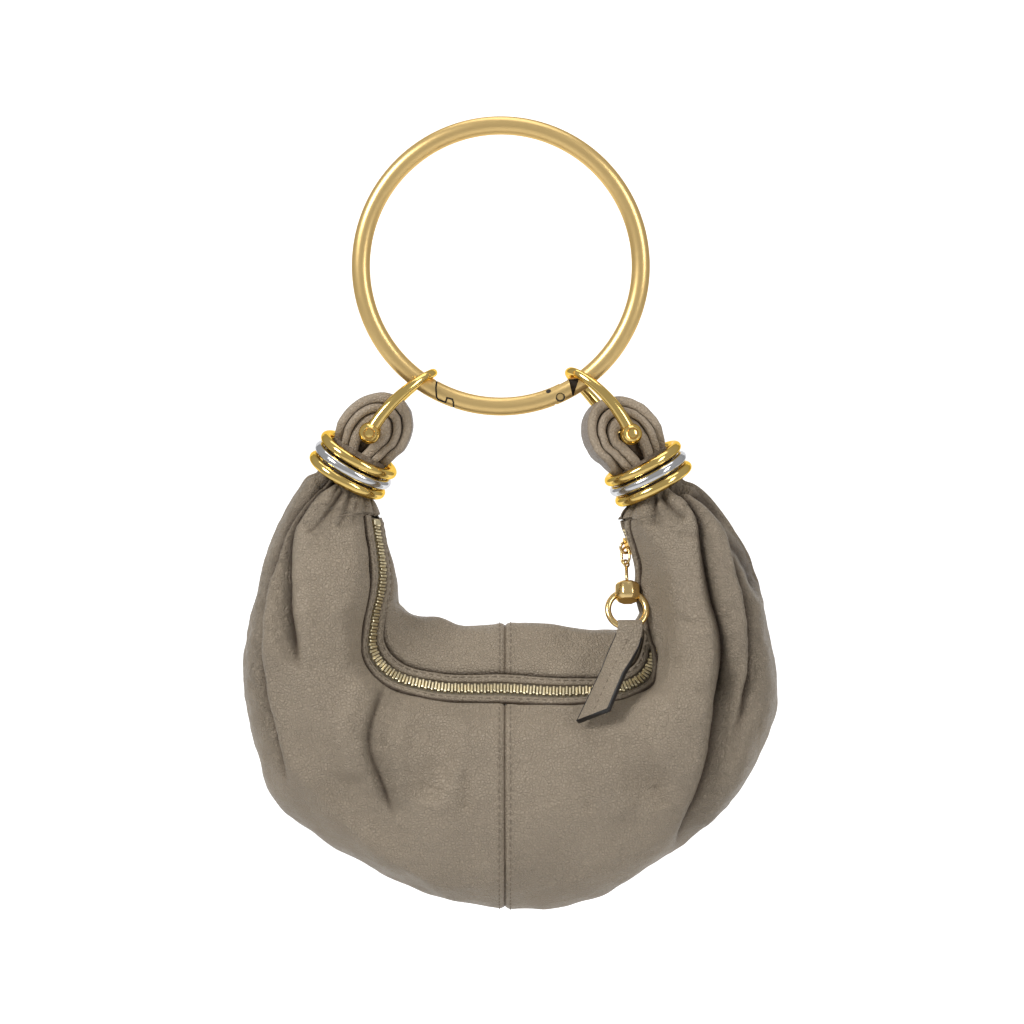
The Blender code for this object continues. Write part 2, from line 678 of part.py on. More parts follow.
def sheet_solid(name, top, bottom, colour):
    """A closed wall between two grids of points of the same size."""
    rows, columns = top.shape[:2]
    points = list(top.reshape(-1, 3)) + list(bottom.reshape(-1, 3))
    under = rows * columns
    faces = []
    for i in range(rows - 1):
        for j in range(columns - 1):
            a = i * columns + j
            faces.append((a, a + 1, a + columns + 1, a + columns))
            faces.append((under + a, under + a + columns, under + a + columns + 1, under + a + 1))
    border = [j for j in range(columns)]
    border += [i * columns + columns - 1 for i in range(1, rows)]
    border += [(rows - 1) * columns + j for j in range(columns - 2, -1, -1)]
    border += [i * columns for i in range(rows - 2, 0, -1)]
    for k, a in enumerate(border):
        b = border[(k + 1) % len(border)]
        faces.append((a, b, under + b, under + a))
    return finish(name, points, faces, colour)


def build_body():
    halves = []
    for name, angles, away in (("body_left", SECTIONS_LEFT, -1), ("body_right", SECTIONS_RIGHT, 1)):
        outer, normals = body_rows(angles)
        seam = len(angles) - 1
        outer[seam, :, 0] += away * GAP / 2
        normals[seam, :, 0] = 0.0
        normals[seam] /= np.linalg.norm(normals[seam], axis=1)[:, None]
        halves.append(sheet_solid(name, outer, outer - LEATHER * normals, "leather"))
    return halves


# Zip


def angles_along_zip(start, end):
    sections = SECTIONS_LEFT + SECTIONS_RIGHT[-2::-1]
    return [start] + [angle for angle in sections if start + 0.2 < angle < end - 0.2] + [end]


def ribbon_along_zip(name, start, end, half, above, below, colour):
    """A flat ribbon under the gap between the two facings."""
    top = []
    bottom = []
    for angle in angles_along_zip(start, end):
        profile = profile_at(angle)
        front, back = profile.place(-FACING_INNER_EDGE), profile.place(FACING_INNER_EDGE)
        way = normal_at(angle, 0.0)
        sideways = half * (back - front) / (2 * FACING_INNER_EDGE)
        places = [(front + back) / 2 + side * sideways for side in (-1, 1)]
        top.append([place + above * way for place in places])
        bottom.append([place + below * way for place in places])
    return sheet_solid(name, np.array(top), np.array(bottom), colour)


def strip_along_zip(name, start, end, columns, above, below, colour):
    """A strip that follows the zip through lengths round the section, between two heights."""
    top = []
    bottom = []
    for angle in angles_along_zip(start, end):
        profile = profile_at(angle)
        places = [(profile.place(length), normal_at(angle, length)) for length in columns]
        top.append([place + above * way for place, way in places])
        bottom.append([place + below * way for place, way in places])
    return sheet_solid(name, np.array(top), np.array(bottom), colour)


def zip_frame(angle):
    """A place on the zip's middle line with the way along it, across it toward the back, and out of it."""
    place = profile_at(angle).place(0.0)
    along = unit(profile_at(angle + 0.8).place(0.0) - profile_at(angle - 0.8).place(0.0))
    out = normal_at(angle, 0.0)
    out = unit(out - np.dot(out, along) * along)
    return place, along, np.cross(out, along), out


def block(name, centre, along, across, out, size, colour):
    half = [s / 2 for s in size]
    outline = [(-half[1], -half[2]), (half[1], -half[2]), (half[1], half[2]), (-half[1], half[2])]
    ends = [centre - half[0] * along, centre + half[0] * along]
    return swept(name, ends, [across] * 2, [out] * 2, [outline] * 2, colour)


def build_zip():
    inner, outer = FACING_INNER_EDGE, FACING_OUTER_EDGE
    start, end = OPEN_FROM + 0.4, OPEN_TO - 0.4
    under = -FACING_THICKNESS - 3 * GAP
    heights = (GAP, GAP - FACING_THICKNESS)
    back = strip_along_zip("facing_back", start, end, (inner, outer), *heights, "leather")
    front = strip_along_zip("facing_front", start, end, (-outer, -inner), *heights, "leather")
    half_tape = TAPE_WIDTH / 2
    tape = ribbon_along_zip("zip_tape", start, ZIP_END, half_tape, under, under - TAPE_THICKNESS, "tape")
    half = TEETH_WIDTH / 2
    chain_bottom = under + GAP
    chain_top = chain_bottom + TEETH_HEIGHT
    chain = ribbon_along_zip("zip_chain", ZIP_START, ZIP_END, half, chain_top, chain_bottom, "pale_gold")
    place, along, across, out = zip_frame(ZIP_START - 2.0)
    size = (END_STOP_LENGTH - 1.5, TEETH_WIDTH, 2.2)
    stop = block("zip_end_stop", place + (under + GAP + 1.1) * out, along, across, out, size, "pale_gold")
    place, along, across, out = zip_frame(SLIDER_AT)
    low = chain_top + 3 * GAP
    centre = place + (low + SLIDER_HEIGHT / 2) * out
    size = (SLIDER_LENGTH, SLIDER_WIDTH, SLIDER_HEIGHT)
    slider = block("zip_slider", centre, along, across, out, size, "gold")
    eye = place + (low + SLIDER_HEIGHT + 1.2) * out
    crown = torus("slider_eye", eye, across, along, 2.6, 1.5, 12, 6, "gold")
    combine(slider, crown, "UNION")
    return [back, front, tape, chain, stop, slider], eye


# Zip pull


def oval(name, centre, up, across, length, width, wire, colour):
    """A link of round wire, straight sided."""
    radius = (width - wire) / 2
    straight = (length - width) / 2
    path = []
    outs = []
    for turn in (0, 1):
        for k in range(7):
            angle = math.pi * (k / 6 + turn)
            direction = math.cos(angle) * across + math.sin(angle) * up
            path.append(centre + (straight if turn == 0 else -straight) * up + radius * direction)
            outs.append(direction)
    flat = [np.cross(up, across)] * len(path)
    return swept(name, path, outs, flat, [circle(wire / 2, 6)] * len(path), colour, closed=True)


def build_pull(eye):
    """The pull hangs from the slider's eye: link, rod, swivel, ring and folded leather tab."""
    up = np.array([0.0, 0.0, 1.0])
    right = np.array([1.0, 0.0, 0.0])
    front = np.array([0.0, -1.0, 0.0])
    link_up = unit((-0.06, 0.50, 1.0))
    link_across = unit(np.cross(link_up, np.cross(unit((0.6, -0.8, 0.0)), link_up)))
    link_centre = eye - (LINK_LENGTH / 2 - LINK_WIRE / 2 - 0.2) * link_up
    link = oval("pull_link", link_centre, link_up, link_across, LINK_LENGTH, LINK_WIDTH, LINK_WIRE, "gold")

    rod_top = link_centre - (LINK_LENGTH / 2 - LINK_WIRE / 2 - 0.1) * link_up
    rod_down = unit((0.02, -0.55, -1.0))
    loop = torus("pull_rod", rod_top, link_across, up, 1.7, 1.1, 12, 6, "gold")
    rod_end = rod_top + PULL_ROD_LENGTH * rod_down
    shaft = cylinder("rod_shaft", rod_top + 1.6 * rod_down, rod_end, PULL_ROD_DIAMETER / 2, 8, "gold")
    combine(loop, shaft, "UNION")

    swivel_top = rod_end - 1.2 * rod_down
    swivel_up = -rod_down
    side = unit(right - np.dot(right, swivel_up) * swivel_up)
    depth = np.cross(swivel_up, side)
    half = SWIVEL_WIDTH / 2
    rows = [(0.0, 0.78), (-0.16, 1.0), (-0.62, 1.0), (-0.84, 0.80), (-1.0, 0.62)]
    path = [swivel_top + h * SWIVEL_HEIGHT * swivel_up for h, _ in rows]
    turns = [(k + 0.5) * math.pi / 4 for k in range(8)]
    outlines = [[(half * w * math.cos(a), half * w * math.sin(a)) for a in turns] for _, w in rows]
    swivel = swept("pull_swivel", path, [side] * 5, [depth] * 5, outlines, "gold")
    ends = (swivel_top + 1.0 * swivel_up, swivel_top - 1.6 * swivel_up)
    mouth = cylinder("cut_mouth", *ends, PULL_ROD_DIAMETER / 2 + 1.6, 12, "gold")
    combine(swivel, mouth, "DIFFERENCE")

    ring_radius = (PULL_RING_OUTSIDE - PULL_RING_WIRE) / 2
    ring_top = swivel_top - 0.43 * SWIVEL_HEIGHT * swivel_up
    ring_down = unit((-0.04, -0.52, -1.0))
    ring_centre = ring_top + ring_radius * ring_down
    ring_normal = unit(front - np.dot(front, ring_down) * ring_down)
    place = (ring_centre, ring_normal, right, ring_radius)
    ring = torus("pull_ring", *place, PULL_RING_WIRE, 24, 8, "gold")
    channel = torus("cut_channel", *place, PULL_RING_WIRE + 2 * GAP, 24, 8, "gold")
    combine(swivel, channel, "DIFFERENCE")

    tab = build_tab(ring_centre + ring_radius * unit(0.06 * right + ring_down))
    return [link, loop, swivel, ring, tab]


def build_tab(hung_from):
    """A strip folded over the ring's lowest wire and glued to itself, leaning and turning as it hangs."""
    hollow = PULL_RING_WIRE / 2 + 5 * GAP
    middle = hollow + TAB_LAYER / 2
    reach = TAB_LENGTH - hollow - TAB_LAYER
    stops = np.linspace(0.0, 1.0, 9)
    frames = []
    place = np.array(hung_from)
    for k, share in enumerate(stops):
        lean = rad(TAB_LEAN) * min(1.0, share / 0.2)
        down = unit((-math.sin(lean), -0.44, -math.cos(lean)))
        face = unit((0.0, -1.0, 0.0) - np.dot((0.0, -1.0, 0.0), down) * down)
        turn = Matrix.Rotation(rad(TAB_TURN) * min(1.0, share / 0.5), 3, Vector(down))
        face = np.array(turn @ Vector(face))
        if k:
            place = place + reach * (share - stops[k - 1]) * down
        frames.append((place, face, down, np.cross(down, face)))
    half_width = TAB_WIDTH / 2
    closed = TAB_LAYER / 2 + GAP / 2
    path = []
    outs = []
    wides = []
    for k in range(8, 0, -1):
        centre, face, _, wide = frames[k]
        apart = closed + (middle - closed) * max(0.0, 1.0 - stops[k] / 0.26)
        path.append(centre + apart * face)
        outs.append(face)
        wides.append(wide)
    centre, face, down, wide = frames[0]
    for angle in np.linspace(0, math.pi, 9):
        out = math.cos(angle) * face - math.sin(angle) * down
        path.append(centre + middle * out)
        outs.append(out)
        wides.append(wide)
    for k in range(1, 9):
        centre, face, _, wide = frames[k]
        apart = closed + (middle - closed) * max(0.0, 1.0 - stops[k] / 0.26)
        path.append(centre - apart * face)
        outs.append(-face)
        wides.append(wide)
    t = TAB_LAYER / 2
    outline = [(-t, -half_width), (t, -half_width), (t, half_width), (-t, half_width)]
    tab = swept("pull_tab", path, outs, wides, [outline] * len(path), "leather")
    glued = frames[4:]
    thick = closed - 0.2
    wide = half_width - 1.0
    inside = [[(-thick, -wide), (thick, -wide), (thick, wide), (-thick, wide)]] * len(glued)
    ends = [place for place, _, _, _ in glued]
    ends[-1] = ends[-1] - 1.0 * glued[-1][2]
    glue = swept("tab_glue", ends, [f[1] for f in glued], [f[3] for f in glued], inside, "leather")
    return combine(tab, glue, "UNION")


def main():
    for old in list(bpy.data.objects):
        bpy.data.objects.remove(old)
    handle, gate, pin = build_handle()
    bag = []
    for side in SIDES:
        bag += build_shackle(side)
        bag.append(build_loop(side))
        bag += build_slip_rings(side)
    bag += build_body()
    zip_pieces, eye = build_zip()
    bag += zip_pieces
    bag += build_pull(eye)
    swing = bpy.data.objects.new("bag_swing_axis", None)
    crossing = ring_point(SHACKLE_AT)
    swing.location = Vector((0.0, 0.0, crossing[1])) * MM
    hinge = bpy.data.objects.new("gate_hinge_axis", None)
    at = hinge_centre()
    hinge.location = Vector((at[0], 0.0, at[1])) * MM
    for axis, pieces in ((swing, bag), (hinge, [gate])):
        bpy.context.collection.objects.link(axis)
        for piece in pieces:
            piece.parent = axis
            piece.matrix_parent_inverse = Matrix.Translation(-axis.location)


main()
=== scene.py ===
import math
from collections import namedtuple

import bmesh
import bpy
import numpy as np
from mathutils import Matrix, Vector


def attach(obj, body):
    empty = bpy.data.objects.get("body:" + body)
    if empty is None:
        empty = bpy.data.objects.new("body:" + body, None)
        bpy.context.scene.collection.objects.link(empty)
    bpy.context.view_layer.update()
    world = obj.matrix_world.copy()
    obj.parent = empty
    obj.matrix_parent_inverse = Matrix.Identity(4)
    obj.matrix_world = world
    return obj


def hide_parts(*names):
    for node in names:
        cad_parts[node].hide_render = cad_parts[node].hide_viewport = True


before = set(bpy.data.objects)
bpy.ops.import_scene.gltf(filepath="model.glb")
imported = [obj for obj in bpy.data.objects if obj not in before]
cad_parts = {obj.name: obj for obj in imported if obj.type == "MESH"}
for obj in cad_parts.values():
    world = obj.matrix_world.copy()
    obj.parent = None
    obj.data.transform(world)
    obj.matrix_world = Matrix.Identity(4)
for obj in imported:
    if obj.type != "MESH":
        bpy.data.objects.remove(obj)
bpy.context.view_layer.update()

# Lengths are in millimetres until a mesh is made. The bag's sections lie in planes through a line along Y at
# the middle of the hole under the ring, told by their angle round that line.
MM = 0.001
GAP = 0.3
HANDLE_INSIDE = 130.1
HANDLE_TUBE = 9.1
LATCH_ANGLE = 23.3
LATCH_GAP = 0.85
HINGE_ANGLE = 24.5
HINGE_OFFSET = 1.6
HINGE_PIN_DIAMETER = 3.8
HINGE_EAR_RADIUS = 6.1
HINGE_SWEEP = 0.5
TONGUE_THICKNESS = 3.0
TONGUE_RADIUS = 4.2
SHACKLE_AT = 33.9
SHACKLE_REACH = 35.6
SHACKLE_BALL = 10.7
SHACKLE_BALL_FACE = 9.4
SHACKLE_SPREAD = 18.5
SHACKLE_BAR_AT_BALL = 6.7
SHACKLE_BAR_AT_CROWN = 4.3
SHACKLE_CURVE = 2.5
SHACKLE_BOW = 3.0
LOOP_DEPTH = 24.6
LOOP_RISE = -0.2
LOOP_SHIFT = 1.0
LOOP_STRETCH = 1.18
LOOP_SKEW = 0.10
LOOP_BASE_LENGTH = 6.0
NECK_DIAMETER = 30.6
SLIP_RING_INSIDE = 32.3
SLIP_RING_TUBE = 5.1
SLIP_RING_PITCH = 5.7
HOLE_X = 2.05
HOLE_Z = -208.85
BODY_RADIUS = 176.0
BODY_HALF_DEPTH = 45.0
TEETH_PITCH = 3.2
FACING_INNER_EDGE = 3.8
FACING_OUTER_EDGE = 8.4
BODY_EDGE = 8.9
ZIP_START = 167.5
ZIP_END = 371.5
SLIDER_AT = 364.6
SLIDER_LENGTH = 9.0
SLIDER_WIDTH = 6.6
SLIDER_HEIGHT = 2.0
TAPE_UNDER = 2.5
CHAIN_ABOVE_TAPE = 2.7
LINK_LENGTH = 10.0
LINK_WIDTH = 7.0
LINK_WIRE = 1.3
PULL_ROD_DIAMETER = 1.6
PULL_ROD_LENGTH = 12.4
SWIVEL_WIDTH = 12.5
SWIVEL_HEIGHT = 10.0
PULL_RING_OUTSIDE = 22.0
PULL_RING_WIRE = 3.1
TAB_LENGTH = 54.0
TAB_WIDTH = 12.0
TAB_SPREAD = 0.2
TAB_SKEW = 0.72
TAB_LAYER = 1.5
TAB_LEAN = 26.5
TAB_TURN = 47.0
OPEN_FROM = 162.9
OPEN_TO = 376.5
STITCH_PITCH = 3.95
STITCH_LENGTH = 2.9
STITCH_THREAD = 0.62
LIP_RISE = 7.5
EDGE_TURN = 1.8
SEAM_GAP = 0.04
END_ROW_Z = -188.0
SEAM_STITCH_OFFSET = 2.75
BAND_ROWS = 420
BAND_RISE = 0.6
BAND_STITCH_RISE = 0.38
TOOTH_SIZE = (4.9, 1.12, 1.9)
TAPE_SHAPE = ((-5.4, -1.9), (-3.0, -1.0), (-1.2, -0.75), (1.2, -0.75), (3.0, -1.0), (5.4, -1.9))

HANDLE_RADIUS = (HANDLE_INSIDE + HANDLE_TUBE) / 2
HANDLE_Z = -HANDLE_INSIDE / 2
STITCH_LINE = FACING_INNER_EDGE + 0.62 * (FACING_OUTER_EDGE - FACING_INNER_EDGE)

Section = namedtuple("Section", "angle inner outer depth zip_in zip_back crest_back")
SECTION_ROWS = [
    (149.0, 0.419, 0.585, 0.325, 0.02, -0.20, 0.05),
    (155.8, 0.419, 0.585, 0.325, 0.02, -0.22, 0.05),
    (158.2, 0.396, 0.604, 0.400, 0.03, -0.25, 0.05),
    (162.0, 0.375, 0.616, 0.480, 0.04, -0.28, 0.05),
    (168.0, 0.353, 0.636, 0.590, 0.05, -0.30, 0.08),
    (176.0, 0.334, 0.664, 0.690, 0.05, -0.32, 0.10),
    (186.0, 0.318, 0.702, 0.790, 0.07, -0.33, 0.15),
    (196.0, 0.313, 0.762, 0.860, 0.11, -0.34, 0.20),
    (206.0, 0.322, 0.825, 0.910, 0.17, -0.35, 0.26),
    (215.0, 0.300, 0.880, 0.950, 0.265, -0.36, 0.30),
    (225.0, 0.264, 0.936, 0.975, 0.290, -0.36, 0.34),
    (240.0, 0.238, 0.957, 0.990, 0.252, -0.34, 0.36),
    (255.0, 0.211, 0.985, 1.000, 0.225, -0.32, 0.36),
    (270.0, 0.202, 1.000, 1.000, 0.213, -0.32, 0.36),
    (285.0, 0.213, 1.006, 1.000, 0.225, -0.32, 0.36),
    (300.0, 0.241, 0.970, 0.990, 0.268, -0.34, 0.34),
    (312.0, 0.286, 0.948, 0.975, 0.315, -0.34, 0.30),
    (321.0, 0.345, 0.920, 0.950, 0.300, -0.31, 0.26),
    (330.0, 0.405, 0.886, 0.915, 0.190, -0.20, 0.22),
    (338.0, 0.415, 0.830, 0.860, 0.085, -0.08, 0.24),
    (346.0, 0.398, 0.768, 0.800, 0.030, 0.00, 0.26),
    (355.0, 0.378, 0.712, 0.730, 0.015, 0.04, 0.28),
    (364.0, 0.360, 0.664, 0.640, 0.010, 0.05, 0.28),
    (372.0, 0.346, 0.620, 0.540, 0.010, 0.03, 0.24),
    (377.5, 0.346, 0.594, 0.455, 0.015, 0.00, 0.14),
    (380.5, 0.358, 0.576, 0.400, 0.020, -0.10, 0.06),
    (383.0, 0.383, 0.553, 0.330, 0.020, -0.10, 0.05),
    (389.6, 0.383, 0.553, 0.330, 0.020, -0.10, 0.05),
]
SECTIONS = [Section(*row) for row in SECTION_ROWS]

# Creases, hollows and ridges seen from the front, each along a line of x and z in millimetres from the middle
# of the hole. Each has its depth and half width at its start and end, and how sharp it is: about 1.2 for a
# crease and 2 for a soft hollow. Negative depth stands out, and lean above 0 makes it steeper on the left of
# the way the line runs.
Fold = namedtuple("Fold", "side depth_a depth_b width_a width_b sharp lean line")
FRONT_FOLDS = [
    (5.5, 9.0, 2.0, 4.6, 1.3, 0.5, (-89, 40, -101, 28, -109, 16, -114, -1, -119, -19, -120.5, -38, -120,
        -57, -118, -73, -113, -92, -104, -118)),
    (5.5, 7.5, 1.8, 4.0, 1.3, 0.5, (-84, 38, -91, 34, -103, 18, -106.4, 4.6, -106.4, -9, -105.5, -22,
        -103, -36, -100, -56)),
    (4.0, 2.0, 1.8, 4.5, 1.3, 0.2, (-79.5, 33, -86, 24, -92, 17, -98, 11)),
    (3.0, 1.0, 1.4, 3.0, 1.3, 0.0, (-75.5, 31, -78, 22, -82, 14)),
    (2.5, 1.0, 1.2, 2.2, 1.3, 0.0, (-72, 29, -73.5, 22, -74, 15)),
    (-1.5, -3.0, 3.0, 8.0, 2.0, 0.0, (-93, 34, -104, 20, -113, -5, -113.5, -30, -111, -62)),
    (-1.0, -2.0, 2.5, 7.0, 2.0, 0.0, (-84, 30, -92, 20, -99, 2, -98, -20, -97, -42)),
    (-2.4, -2.4, 6.0, 8.0, 1.6, 0.3, (-117, -84, -98, -106, -71, -136, -40, -156, -12, -167)),
    (2.0, 2.0, 10.0, 12.0, 2.0, 0.0, (-104, -78, -88, -98, -66, -122, -36, -142)),
    (2.5, 5.0, 3.0, 6.0, 1.3, -0.5, (-58, -58, -65.5, -84, -63.5, -100, -54, -127)),
    (-1.5, -2.8, 5.0, 7.0, 2.0, 0.0, (-68, -56, -77, -84, -73, -112)),
    (2.8, 5.2, 7.0, 10.0, 2.0, 0.0, (-34, -74, -31, -95, -38, -119)),
    (-1.4, -2.6, 4.0, 6.0, 1.8, 0.0, (-46, -66, -51, -94, -50, -124)),
    (-1.2, -2.2, 4.0, 6.0, 1.8, 0.0, (-19, -74, -22, -98, -34, -125)),
    (1.4, 1.8, 2.0, 3.0, 1.3, 0.0, (-19, -100, -18.5, -124)),
    (5.5, 12.0, 2.2, 5.6, 1.3, -0.5, (82, 36, 90, 29, 96, 19, 97.7, 0, 100.5, -19, 104.6, -33, 106, -50,
        105, -80)),
    (12.0, 6.5, 5.6, 6.5, 1.3, -0.5, (106, -45, 105, -72, 102, -96, 97, -115, 91, -129, 84, -150)),
    (5.0, 7.0, 2.0, 4.8, 1.3, -0.5, (84, 36, 99, 31, 110, 15, 114, 0, 118, -16, 121, -36, 122, -57, 118,
        -76, 111, -92)),
    (3.5, 5.0, 2.0, 5.0, 1.3, -0.4, (88, 37, 103, 24, 118, 2, 128, -24)),
    (3.6, 1.4, 1.6, 3.4, 1.3, 0.0, (77, 31, 82, 25, 90, 19)),
    (3.4, 1.4, 1.4, 3.0, 1.3, 0.0, (73.5, 30, 73, 22, 72, 14)),
    (-1.5, -3.0, 3.0, 7.0, 2.0, 0.0, (88, 31, 102, 12, 106, -14, 114, -52)),
    (-1.5, -2.5, 4.0, 8.0, 2.0, 0.0, (92, 32, 112, 10, 121, -16, 130, -42)),
    (-1.0, -3.0, 5.0, 9.0, 2.0, 0.0, (78, 16, 86, -20, 92, -56, 90, -90)),
    (-2.4, -2.4, 6.0, 8.0, 1.8, 0.0, (121, -90, 109, -118, 94, -142)),
    (2.0, 4.6, 6.0, 11.0, 1.7, -0.3, (36, -76, 54, -94, 78, -120)),
    (-1.4, -2.8, 5.0, 8.0, 1.8, 0.0, (58, -76, 74, -92, 88, -112)),
    (-1.2, -2.2, 5.0, 8.0, 1.8, 0.0, (26, -84, 42, -106, 62, -128)),
    (1.5, 2.2, 2.0, 3.4, 1.3, 0.0, (73, -110, 78, -121)),
    (1.0, 1.4, 2.0, 3.0, 1.3, 0.0, (39.5, -97, 40.5, -125)),
    (1.6, 1.0, 1.6, 2.4, 1.3, 0.0, (84, 12, 97, 11)),
    (1.4, 1.0, 1.6, 2.4, 1.3, 0.0, (86, -30, 101, -31.5)),
    (1.2, 0.8, 1.6, 2.4, 1.3, 0.0, (92, -63, 104, -66)),
]
BACK_FOLDS = [
    (4.0, 5.0, 2.5, 8.0, 1.4, 0.2, (-86, 40, -98, 26, -112, 0, -114, -50, -98, -104)),
    (4.0, 4.0, 2.5, 7.0, 1.4, 0.2, (-80, 36, -90, 24, -98, 0, -98, -40)),
    (3.0, 2.0, 2.0, 5.0, 1.4, 0.0, (-75, 33, -80, 20, -84, 4)),
    (4.5, 6.0, 2.5, 9.0, 1.4, 0.2, (82, 36, 94, 22, 104, 0, 112, -44, 96, -104)),
    (4.0, 3.5, 2.5, 7.0, 1.4, 0.2, (77, 33, 84, 18, 90, -10, 90, -44)),
    (2.5, 4.5, 8.0, 12.0, 1.9, 0.0, (-42, -74, -36, -98, -24, -130)),
    (2.5, 4.5, 8.0, 12.0, 1.9, 0.0, (36, -74, 46, -98, 60, -126)),
    (1.8, 0.8, 2.0, 5.0, 1.4, 0.0, (-52, -28, -40, -38, -22, -42)),
    (1.5, 0.6, 2.0, 4.0, 1.4, 0.0, (-56, -22, -42, -30, -28, -32)),
]
FOLDS = [Fold("front", *row) for row in FRONT_FOLDS] + [Fold("back", *row) for row in BACK_FOLDS]

# Where the outline is fuller or slacker than the sections make it, measured from the middle of the hole.
Bulge = namedtuple("Bulge", "x z radius rise")
BULGES = [
    Bulge(115.0, 4.0, 26.0, 2.2),
    Bulge(-107.0, -130.0, 17.0, 2.2),
    Bulge(93.0, -140.0, 17.0, 2.2),
    Bulge(-122.0, -105.0, 9.0, -1.6),
    Bulge(130.0, -95.0, 9.0, -1.4),
    Bulge(-44.0, -28.0, 9.0, -1.8),
    Bulge(67.0, -27.0, 8.0, -1.2),
]

Layer = namedtuple("Layer", "radius thickness leg_in leg_thickness leg_depth")
LAYERS = [
    Layer(15.4, 4.1, 12.2, 4.1, 9.0),
    Layer(11.1, 3.6, 8.0, 3.6, 19.0),
    Layer(6.2, 5.2, 3.4, 4.6, 23.0),
]
Side = namedtuple("Side", "name sign lean turn ring_x ring_z slope tip")
SIDES = [
    Side("left", -1, 46.0, 0.0, -73.75, -163.7, 30.0, 9.0),
    Side("right", 1, 40.5, -9.0, 73.5, -168.05, 28.0, 5.0),
]


RIGHT = np.array([1.0, 0.0, 0.0])
FRONT = np.array([0.0, -1.0, 0.0])
UP = np.array([0.0, 0.0, 1.0])


def rad(angle):
    return math.radians(angle)


def unit(vector):
    vector = np.asarray(vector, float)
    return vector / np.linalg.norm(vector)


def smooth_step(share):
    return share * share * (3 - 2 * share)


def run_lengths(line):
    """The length along a line at each of its points."""
    return np.concatenate([[0.0], np.cumsum(np.linalg.norm(np.diff(line, axis=0), axis=1))])


def sample(wanted, lengths, field):
    """A field's value at one length along a line."""
    return np.array([np.interp(wanted, lengths, field[:, j]) for j in range(3)])


# Materials


def new_material(name):
    made = bpy.data.materials.new(name)
    made.use_nodes = True
    tree = made.node_tree
    return made, tree, tree.nodes["Principled BSDF"]


def object_coords(tree):
    return tree.nodes.new("ShaderNodeTexCoord").outputs["Object"]


def scaled(colour, share):
    return tuple(min(1.0, c * share) for c in colour)


def feed(tree, value, socket):
    """Links an output to a socket, or sets the socket to a number or a colour."""
    if hasattr(value, "is_linked"):
        tree.links.new(value, socket)
    else:
        socket.default_value = (*value, 1.0) if hasattr(value, "__len__") else value


def add(tree, kind, **values):
    node = tree.nodes.new(kind)
    for key, value in values.items():
        if key in node.inputs:
            node.inputs[key].default_value = value
        else:
            setattr(node, key, value)
    return node


def noise(tree, coords, scale, detail=3.0, roughness=0.55, distortion=0.0):
    settings = {"Scale": scale, "Detail": detail, "Roughness": roughness, "Distortion": distortion}
    node = add(tree, "ShaderNodeTexNoise", **settings)
    tree.links.new(coords, node.inputs["Vector"])
    return node.outputs["Fac"]


def ramp(tree, value, stops):
    node = tree.nodes.new("ShaderNodeValToRGB")
    elements = node.color_ramp.elements
    while len(elements) < len(stops):
        elements.new(0.5)
    for element, (position, grey) in zip(elements, stops):
        element.position = position
        element.color = (grey, grey, grey, 1.0)
    tree.links.new(value, node.inputs["Fac"])
    return node.outputs["Color"]


def mix(tree, factor, a, b, blend="MIX"):
    node = add(tree, "ShaderNodeMix", data_type="RGBA", blend_type=blend)
    for place, value in ((0, factor), (6, a), (7, b)):
        feed(tree, value, node.inputs[place])
    return node.outputs[2]


def math_node(tree, operation, a, b):
    node = add(tree, "ShaderNodeMath", operation=operation)
    feed(tree, a, node.inputs[0])
    feed(tree, b, node.inputs[1])
    return node.outputs[0]


def add_bump(tree, shader, height, strength, distance):
    bump = add(tree, "ShaderNodeBump", Strength=strength, Distance=distance)
    tree.links.new(height, bump.inputs["Height"])
    tree.links.new(bump.outputs["Normal"], shader.inputs["Normal"])


